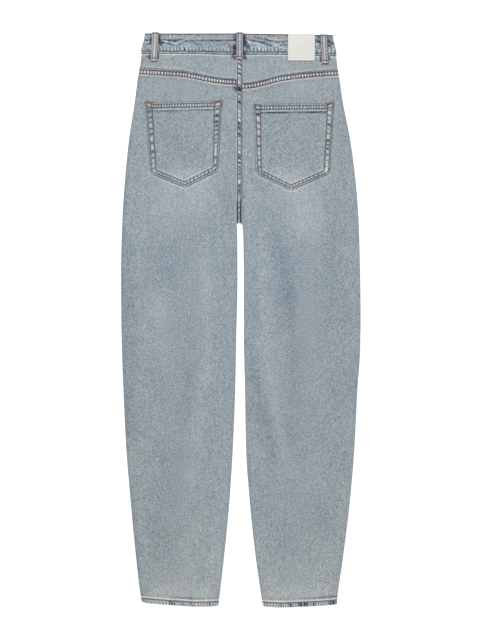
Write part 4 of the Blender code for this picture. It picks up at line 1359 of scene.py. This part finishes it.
# Columns along the front run on the left, the back run and the front run on the right.
BAND_COLUMNS = (70, 240, 66)
BAND_CREASES_AND_LOOP_SHADOWS = (
    # x and down at each end, half width, relief, change of fade
    # The first eight rows, down both sides of each back loop, are painted shadow that the loops cast. The
    # other dark rows close beside the loops are darker cloth with painted shadow over it.
    (-162.6, 3.0, -163.6, 20.0, 1.5, -0.20, -0.40),
    (-165.0, 37.0, -164.6, 31.0, 1.2, -0.10, -0.24),
    (-146.4, 3.0, -147.4, 21.0, 1.5, -0.20, -0.30),
    (-148.8, 28.0, -149.0, 38.0, 1.0, -0.10, -0.26),
    (-9.9, 3.0, -9.9, 39.0, 1.4, -0.25, -0.36),
    (6.0, 3.0, 6.0, 39.0, 1.4, -0.25, -0.30),
    (141.8, 7.0, 143.0, 24.0, 1.4, -0.20, -0.34),
    (157.4, 7.0, 158.4, 24.0, 1.4, -0.20, -0.34),
    (-172.0, 14.2, -162.5, 13.4, 1.7, -0.40, -0.38),
    (-171.0, 21.5, -163.0, 19.5, 1.6, -0.30, -0.34),
    (-172.0, 17.6, -164.0, 16.8, 1.4, 0.20, 0.18),
    (-146.8, 4.0, -145.5, 21.0, 2.0, -0.30, -0.36),
    (-147.0, 17.0, -143.0, 20.0, 2.6, -0.30, -0.42),
    (-141.0, 12.8, -131.0, 14.4, 1.2, -0.35, -0.46),
    (-131.0, 14.4, -119.0, 15.4, 1.5, -0.40, -0.54),
    (-119.0, 15.4, -107.5, 12.4, 1.3, -0.35, -0.48),
    (-143.0, 17.4, -120.5, 22.2, 1.4, -0.35, -0.48),
    (-138.0, 15.3, -114.5, 21.4, 1.0, 0.24, 0.40),
    (-117.0, 20.0, -100.0, 13.6, 1.0, 0.20, 0.24),
    (-114.0, 22.0, -98.5, 15.8, 1.3, -0.25, -0.30),
    (-98.5, 15.8, -69.0, 13.9, 1.2, -0.30, -0.30),
    (-69.0, 13.9, -40.0, 15.0, 1.2, -0.30, -0.34),
    (-44.0, 14.8, -12.0, 14.0, 1.4, -0.35, -0.46),
    (-96.0, 11.6, -14.0, 11.6, 1.6, 0.18, 0.10),
    (-88.0, 21.0, -62.0, 20.6, 1.4, -0.20, -0.20),
    (-110.0, 25.0, -92.0, 25.4, 1.4, 0.16, 0.16),
    (-40.0, 21.0, -20.0, 22.0, 2.2, -0.20, -0.18),
    (-12.0, 6.0, -10.5, 12.0, 2.0, -0.20, -0.30),
    (-11.5, 25.0, -11.0, 40.0, 3.4, -0.35, -0.44),
    (-17.0, 27.0, -12.0, 30.0, 2.6, -0.20, -0.26),
    (6.0, 3.0, 6.4, 24.0, 2.4, -0.30, -0.52),
    (6.5, 12.0, 14.0, 28.0, 3.4, -0.30, -0.42),
    (5.4, 33.0, 5.8, 40.0, 2.6, -0.30, -0.66),
    (9.5, 13.6, 14.5, 17.0, 1.3, 0.20, 0.52),
    (16.4, 13.4, 38.0, 18.0, 1.3, -0.32, -0.42),
    (38.0, 18.0, 55.0, 24.0, 1.4, -0.32, -0.42),
    (15.0, 17.4, 34.0, 22.0, 1.6, 0.20, 0.22),
    (25.0, 8.6, 49.0, 13.6, 1.3, -0.25, -0.30),
    (49.0, 13.6, 68.0, 17.6, 1.3, -0.28, -0.34),
    (68.0, 17.6, 84.0, 15.4, 1.3, -0.24, -0.30),
    (49.0, 10.6, 66.0, 13.6, 1.2, 0.18, 0.26),
    (66.0, 13.6, 84.0, 13.0, 1.2, 0.14, 0.20),
    (58.0, 22.0, 82.0, 30.0, 1.3, 0.20, 0.30),
    (62.0, 25.6, 80.0, 31.4, 1.2, -0.20, -0.22),
    (72.0, 23.6, 84.0, 21.0, 1.4, -0.25, -0.34),
    (20.0, 26.0, 44.0, 27.0, 1.8, 0.14, 0.12),
    (136.0, 14.0, 143.0, 18.0, 2.0, -0.35, -0.56),
    (136.5, 22.0, 142.0, 20.0, 1.4, 0.18, 0.22),
    (136.0, 27.0, 143.0, 29.0, 1.5, -0.20, -0.24),
    (137.0, 6.4, 143.0, 9.6, 1.4, -0.20, -0.32),
    (159.0, 15.4, 166.0, 20.5, 2.2, -0.35, -0.58),
    (159.5, 24.0, 163.0, 25.0, 1.8, -0.20, -0.44),
    (162.0, 10.0, 168.0, 12.0, 1.4, -0.15, -0.24),
)


def creases_and_loop_shadows(x, down):
    """Relief and fade of the creases and of the painted shadows beside the loops, each a soft and uneven
    line.
    """
    relief = fade = 0.0
    for x0, down0, x1, down1, half_width, high, change in BAND_CREASES_AND_LOOP_SHADOWS:
        share, away = near_line(x, down, (x0, down0), (x1, down1))
        length = math.hypot(x1 - x0, down1 - down0)
        soft = (0.82 + 0.18 * np.sin(share * length / 2.1 + x0)) * bell(away, half_width)
        relief = relief + high * soft
        fade = fade + change * soft
    return relief, fade


def fold_over(off):
    """How far the folded top edge has turned away from the face."""
    return BAND_ROLL - np.sqrt(BAND_ROLL ** 2 - np.clip(BAND_ROLL - off, 0.0, BAND_ROLL) ** 2)


def band_form(x, down, top, bottom, back):
    """Relief over the flat band and fade, from the lines of its two edges."""
    from_top, from_bottom = down - top, bottom - down
    seed = 0.4 if back else 2.9
    ticks = roping(x + 0.7 * np.sin(down / 3.0), 6.3, seed)
    low_ticks = ticks * ease(14.5, 9.0, from_bottom) * ease(3.4, 5.0, from_bottom)
    high_ticks = roping(x, 5.6, seed + 1.1) * ease(2.2, 4.0, from_top) * ease(10.5, 7.5, from_top)
    relief = 0.20 * low_ticks + 0.12 * high_ticks
    fade = (0.44 * low_ticks + 0.25 * high_ticks) * (0.7 + 0.3 * np.sin(x / 23.0 + seed))
    # Each row sits in a groove painted darker: partly unfaded cloth, partly painted shade.
    for off in (from_top - BAND_ROW_TOP, from_bottom - BAND_ROW_BOTTOM):
        relief = relief - ROW_DEPTH * bell(off, ROW_HALF_WIDTH)
        fade = fade - 0.44 * bell(off, ROW_SHADE_HALF_WIDTH)
    # A pale line over the lower edge, and painted shadow along the edge itself.
    fade = fade + 0.12 * bell(from_bottom - 2.2, 0.6) - 0.40 * bell(from_bottom, 0.9)
    creased, marked = creases_and_loop_shadows(x if back else -x, down)
    share = 1.0 if back else 0.6
    long_crease = bell(from_top - 13.0 - 1.2 * np.sin(x / 17.0), 1.5)
    mottle = np.sin(x / 2.7 + 1.9 * np.sin(down / 4.1)) * np.sin(down / 1.9 + 1.7 * np.sin(x / 5.6))
    fade = fade + 1.15 * share * marked - 0.07 * long_crease + 0.10 * mottle
    relief = np.clip(relief + share * creased - 0.1 * long_crease, -0.6, 0.22)
    return relief - fold_over(from_top) - 0.3 * bell(from_bottom, 0.5), BASE_FADE + fade


def band_back_height(x, down):
    top, bottom = back_band(x, TOP), back_band(x, BOTTOM)
    return BAND_TOP + band_form(x, down, top, bottom, True)[0]


def band_front_height(x, down):
    top, bottom = front_band(x, TOP), front_band(x, BOTTOM)
    return BAND_UNDERSIDE - band_form(x, down, top, bottom, False)[0]


def band_ring(down):
    """x and the angle off level of each column, round from the join and back to it."""
    left = along(OUTSEAM, LEFT, down) + BAND_TURN
    right = along(OUTSEAM, RIGHT, down) - BAND_TURN
    turn = np.radians(steps(-90.0, (90.0, 12.0)))[1:-1]
    front_left, back, front_right = (np.linspace(0.0, 1.0, count) for count in BAND_COLUMNS)
    x = np.concatenate((
        BAND_JOIN - SEAM_GAP / 2 + (left - BAND_JOIN) * front_left,
        left - BAND_TURN * np.cos(turn),
        left + (right - left) * back,
        right + BAND_TURN * np.cos(turn),
        right + (BAND_JOIN + SEAM_GAP / 2 - right) * front_right,
    ), axis=1)
    quarter = math.pi / 2
    angle = np.concatenate((
        np.full_like(front_left, -quarter), turn, np.full_like(back, quarter), turn[::-1],
        np.full_like(front_right, -quarter),
    ))
    return x, angle


ring_x, ring_angle = band_ring(np.full((1, 1), 20.0))
is_back = ring_angle >= 0.0
ring_top = np.where(is_back, back_band(ring_x, TOP), front_band(ring_x, TOP))
ring_bottom = np.where(is_back, back_band(ring_x, BOTTOM), front_band(ring_x, BOTTOM)) - SEAM_GAP / 2
share = steps(0.0, (0.04, 0.013), (0.98, 0.031), (1.0, 0.01))[:, None]
down = ring_top + (ring_bottom - ring_top) * share
x, ring_angle = band_ring(down[:, :1])
back_relief, back_fade = band_form(x, down, ring_top, ring_bottom, True)
front_relief, front_fade = band_form(x, down, ring_top, ring_bottom, False)
relief = np.where(is_back, back_relief, front_relief)
fade = np.where(is_back, back_fade, front_fade)
half_depth = (BAND_TOP - BAND_UNDERSIDE) / 2
tilt = np.cos(ring_angle) * np.sign(x)
outside = metres(x + tilt * relief, down, BAND_MIDDLE + np.sin(ring_angle) * (half_depth + relief))
wall_in = BAND_WALL * np.where(np.abs(np.cos(ring_angle)) > 0.01, np.cos(ring_angle), 0.0)
inside = metres(x - np.sign(x) * wall_in, down, BAND_MIDDLE + np.sin(ring_angle) * (half_depth - BAND_WALL))
waistband = cloth("waistband_strip", outside, fade, BAND_WALL, denim, under=inside)
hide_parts("waistband_back", "waistband_front_left", "waistband_front_right")
at = np.linspace(-171.0, 164.0, 140)
front_at = np.linspace(-164.0, 160.0, 140)
band_stitches = sew("waistband_stitches_back", [
    path(at, back_band(at, TOP) + BAND_ROW_TOP),
    path(at * 1.025, back_band(at, BOTTOM) - BAND_ROW_BOTTOM),
], band_back_height, tan_thread, width=BAND_STITCH_WIDTH)
front_band_stitches = sew("waistband_stitches_front", [
    path(front_at, front_band(front_at, TOP) + BAND_ROW_TOP),
    path(front_at, front_band(front_at, BOTTOM) - BAND_ROW_BOTTOM),
], band_front_height, tan_thread, up=-1.0, width=BAND_STITCH_WIDTH)


# Front of the trousers, which faces the floor: a fly with its curved double row, and two
# curved pocket mouths. They show only as sewing, since the fronts are one layer here.
FLY_WIDTH = 34.0
FLY_BOTTOM = 205.0
FLY_CURVE = 55.0
UNDER_FRONT_BAND = 52.0
FRONT_SEAM_END = 338.0
MOUTH_TOP_X = 118.0
MOUTH_SIDE_DOWN = 140.0
FLY_BARS = (((-11.8, 198.0), (-3.8, 200.0)), ((-30.0, 160.0), (-27.0, 170.0)))


def front_cloth(x, down):
    return both_sides(front_under, x, down)


front_rows = []
turn = np.linspace(0.0, math.pi / 2, 24)
for inset in (0.0, 6.0):
    width = FLY_WIDTH - inset
    straight = path(CENTRE_SEAM - width, np.linspace(UNDER_FRONT_BAND + 1.0, FLY_BOTTOM - FLY_CURVE, 30))
    curve_down = FLY_BOTTOM - FLY_CURVE + (FLY_CURVE - inset) * np.sin(turn)
    curve = path(CENTRE_SEAM - width * np.cos(turn), curve_down)
    front_rows.append(np.concatenate((straight, curve[1:])))
for off in (-1.6, -7.2):
    front_rows.append(path(CENTRE_SEAM + off, np.linspace(UNDER_FRONT_BAND, FRONT_SEAM_END, 90)))
turn = np.linspace(0.03, math.pi / 2 - 0.02, 40)
for side_name, side in SIDES:
    for inset in (1.5, 7.5):
        start_x = -INWARD[side] * (MOUTH_TOP_X - inset)
        end_down = MOUTH_SIDE_DOWN + inset
        end_x = along(OUTSEAM, side, end_down) + INWARD[side] * 1.5
        curve_x = end_x + (start_x - end_x) * np.cos(turn) ** 0.9
        curve_down = UNDER_FRONT_BAND + (end_down - UNDER_FRONT_BAND) * np.sin(turn) ** 1.15
        front_rows.append(path(curve_x, curve_down))
sew("fly_and_pocket_mouth_stitches", front_rows, front_cloth, tan_thread, up=-1.0)
sew("fly_bars", FLY_BARS, front_cloth, bar_thread, up=-1.0, pitch=BAR_PITCH, bar_width=1.9)


# Belt loops: narrow strips of denim with both edges folded in under two rows of stitches.
# Each wraps over the top of the band and is locked under it by a thick bar of thread.
LOOP_WALL = 1.2
# The weight of the jeans presses the front loops flat.
PRESSED_WALL = 0.7
LOOP_ROW_IN = 3.5
LOOP_BAR_UP = 4.4
BACK_LOOPS = (
    # name, (top, left and right there, bottom, left and right there),
    # height on the band and under it, wear
    ("left", (-0.6, -160.6, -148.0, 51.3, -163.4, -151.2), 8.1, 7.45, 0.01),
    ("centre", (-0.4, -8.4, 4.4, 48.2, -8.4, 4.4), 8.45, 8.45, -0.07),
    ("right", (3.3, 143.4, 155.8, 55.8, 146.4, 158.4), 8.1, 7.45, 0.0),
)
FRONT_LOOP_OUT = 92.0
FRONT_LOOP_WIDTH = 12.6
FRONT_LOOP_LENGTH = 51.0


def loop_form(off, width, from_top, to_end, run, seed, wall):
    """Height over what the loop lies on, and fade, for a place on its face."""
    in_from = np.minimum(off, width - off)
    from_middle = off - width / 2
    rope = roping(run + 0.3 * off, 5.2, seed) * ease(LOOP_ROW_IN - 0.5, LOOP_ROW_IN + 0.6, in_from)
    groove = bell(in_from - LOOP_ROW_IN, 0.8)
    height = wall + 0.28 + 0.22 * bell(from_middle, 1.2) + 0.06 * rope - 0.75 * bell(in_from, 0.7)
    height = height - 0.2 * groove - 0.9 * bell(from_top, 0.9) - 0.8 * bell(to_end, 0.8)
    height = height - 0.35 * bell(to_end - LOOP_BAR_UP, 1.2)
    # The rolled edges, the rows' grooves and the last of the end are painted shade, and the pale line just
    # short of the end is a painted highlight where the fold catches the light.
    fade = 0.69 + 0.12 * bell(from_middle, 1.5) + 0.07 * rope - 0.08 * groove
    fade = fade - 0.45 * bell(in_from, 0.9) + 0.24 * bell(to_end - 1.4, 1.0) - 0.60 * bell(to_end, 0.8)
    return height, fade


def belt_loop(name, outline, rest, up, seed, wall, wear=0.0):
    """A loop with its two rows and its end bars, lying on the heights that rest gives."""
    top, left, right, bottom, low_left, low_right = outline

    def sides(down):
        share = (down - top) / (bottom - top)
        return left + (low_left - left) * share, right + (low_right - right) * share

    def form(x, down):
        first, last = sides(down)
        raised, fade = loop_form(x - first, last - first, down - top, bottom - down, down, seed, wall)
        return rest(down) + up * raised, fade + wear

    down = steps(top, (top + 2.0, 0.4), (bottom - 2.0, 1.1), (bottom, 0.4))[:, None]
    first, last = sides(down)
    x = first + (last - first) * steps(0.0, (0.1, 0.033), (0.9, 0.055), (1.0, 0.033))
    height, fade = form(x, down)
    under = metres(x, down, rest(down) + up * 0.05 + 0.0 * x)
    strip = cloth(
        "belt_loop_shell_" + name, metres(x, down, height), fade, LOOP_WALL, loop_denim, up > 0, under,
    )
    row_ends = np.array((top + 1.0, bottom - 4.6))
    middle = sum(sides(row_ends)) / 2
    half = (right - left) / 2 - LOOP_ROW_IN
    rows = [path(middle - half, row_ends), path(middle + half, row_ends)]
    surface = lambda x, down: form(x, down)[0]
    stitches = sew("belt_loop_stitches_" + name, rows, surface, tan_thread, up=up)
    bars = [
        [(low_left + 1.4, bottom - LOOP_BAR_UP), (low_right - 1.4, bottom - LOOP_BAR_UP)],
        [(left + 1.4, top + 2.2), (right - 1.4, top + 2.2)],
    ]
    bars = sew(
        "belt_loop_bars_" + name, bars, surface, bar_thread, up=up, pitch=BAR_PITCH, bar_width=2.2,
    )
    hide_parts("belt_loop_" + name)
    return strip, [stitches, bars]


for seed, (name, outline, on_band, below, wear) in enumerate(BACK_LOOPS):
    step = back_band((outline[1] + outline[2]) / 2, BOTTOM)
    rest = lambda down: on_band + (below - on_band) * ease(step - 0.5, step + 3.5, down)
    strip, sewing = belt_loop("back_" + name, outline, rest, 1.0, seed, LOOP_WALL, wear)
for side_name, side in SIDES:
    middle = CENTRE_SEAM - INWARD[side] * FRONT_LOOP_OUT
    left, right = middle - FRONT_LOOP_WIDTH / 2, middle + FRONT_LOOP_WIDTH / 2
    top = float(front_band(middle, TOP)) - 1.6
    outline = (top, left, right, top + FRONT_LOOP_LENGTH, left, right)
    strip, sewing = belt_loop(
        "front_" + side_name, outline, lambda down: LOOP_THICKNESS + 0.25, -1.0, 3.0 + side, PRESSED_WALL,
    )


# Back patch: a square of off-white leatherboard, left blank, with its corners just eased.
# It is sewn to the band along its top edge, and its lower edge carries a painted highlight, a little paler
# where it catches the light.
PATCH_LEFT, PATCH_RIGHT = 85.1, 133.9
PATCH_TOP, PATCH_BOTTOM = 2.3, 50.8
PATCH_THICKNESS = 1.2
PATCH_UNDERSIDE = BAND_TOP + SEAM_GAP
# Pressed fibres show as a cloud and a fine grain, and these are their sizes and details.
FIBRE_CLOUD = (7.0, 1.0, 3.0)
FIBRE_GRAIN = (0.5, 1.0, 2.0)


def ease_edges(piece, width_mm, material):
    """Round the edges of a hard piece and give it its material."""
    bevel = piece.modifiers.new("eased edges", "BEVEL")
    bevel.width = width_mm * MM
    bevel.segments = 3
    bevel.limit_method = "ANGLE"
    bpy.ops.object.modifier_apply(modifier=bevel.name)
    piece.data.shade_smooth()
    piece.data.set_sharp_from_angle(angle=math.radians(40.0))
    piece.data.materials.clear()
    piece.data.materials.append(material)


leatherboard, tree, shader = new_material("matt_white_leatherboard")
coordinates = add_node(tree, "ShaderNodeTexCoord").outputs["Object"]
place = add_node(tree, "ShaderNodeSeparateXYZ", inputs={0: coordinates}).outputs["Y"]
# Painted highlight along the lower edge.
lower_edge_highlight = add_node(tree, "ShaderNodeMapRange", inputs={
    "Value": place, "From Min": cad_high.y - (PATCH_BOTTOM - 2.4) * MM,
    "From Max": cad_high.y - (PATCH_BOTTOM - 1.4) * MM, "To Min": 0.0, "To Max": 0.5,
})
fibres = grain_layer(tree, coordinates, *FIBRE_CLOUD)
tone = multiply_add(tree, fibres, 0.5, lower_edge_highlight.outputs["Result"], clamped=True)
white = colour_ramp(tree, tone, ((0.1, "#D9D8D3"), (1.0, "#F1F0EC")))
tree.links.new(white, shader.inputs["Base Color"])
add_bump(tree, shader, grain_layer(tree, coordinates, *FIBRE_GRAIN), 0.3, 0.1)
shader.inputs["Roughness"].default_value = 0.7

deselect()
bpy.ops.mesh.primitive_cube_add(size=1.0, location=(
    (PATCH_LEFT + PATCH_RIGHT) / 2 * MM, cad_high.y - (PATCH_TOP + PATCH_BOTTOM) / 2 * MM,
    (PATCH_UNDERSIDE + PATCH_THICKNESS / 2) * MM,
))
patch = bpy.context.object
patch.name = "back_patch_board"
patch.scale = ((PATCH_RIGHT - PATCH_LEFT) * MM, (PATCH_BOTTOM - PATCH_TOP) * MM, PATCH_THICKNESS * MM)
bpy.ops.object.transform_apply(location=True, rotation=False, scale=True)
bpy.ops.object.mode_set(mode="EDIT")
bpy.ops.mesh.select_all(action="SELECT")
bpy.ops.mesh.bevel(offset=0.9 * MM, segments=3, affect="VERTICES")
bpy.ops.object.mode_set(mode="OBJECT")
ease_edges(patch, 0.3, leatherboard)
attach(patch, "root")
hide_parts("back_patch")


# Waist button: a stamped brass shank button in an antique finish, with a raised rim and a
# plain dished face. It is fixed through the front of the waistband, so it faces the floor.
BUTTON_X = 0.2
BUTTON_RADIUS = 8.5
BUTTON_DEPTH = 1.6
TARNISH = (3.0, 1.0, 3.0)
# Rings pressed into the face: how far in each goes, and how far out or down.
BUTTON_RINGS = ((0.9, 0.0), (0.5, 0.35), (1.6, 0.0), (1.2, 0.1), (2.0, -0.25))

brass, tree, shader = new_material("antique_brushed_brass")
coordinates = add_node(tree, "ShaderNodeTexCoord").outputs["Object"]
tarnish = grain_layer(tree, coordinates, *TARNISH)
metal = colour_ramp(tree, tarnish, ((0.3, "#7A6744"), (0.7, "#B59A66")))
tree.links.new(metal, shader.inputs["Base Color"])
shader.inputs["Metallic"].default_value = 1.0
shader.inputs["Roughness"].default_value = 0.38

button_down = float(front_band(BUTTON_X, TOP)) + 19.0
deselect()
bpy.ops.mesh.primitive_cylinder_add(
    vertices=48, radius=BUTTON_RADIUS * MM, depth=BUTTON_DEPTH * MM,
    location=(BUTTON_X * MM, cad_high.y - button_down * MM, BUTTON_DEPTH / 2 * MM),
)
button = bpy.context.object
button.name = "shank_button"
bpy.ops.object.transform_apply(location=True, rotation=False, scale=True)
bpy.ops.object.mode_set(mode="EDIT")
bpy.ops.mesh.select_all(action="DESELECT")
bpy.ops.object.mode_set(mode="OBJECT")
for face in button.data.polygons:
    face.select = face.normal.z < -0.9
bpy.ops.object.mode_set(mode="EDIT")
for inset, depth in BUTTON_RINGS:
    bpy.ops.mesh.inset(thickness=inset * MM, depth=-depth * MM)
bpy.ops.object.mode_set(mode="OBJECT")
ease_edges(button, 0.35, brass)
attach(button, "root")
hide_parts("waist_button")
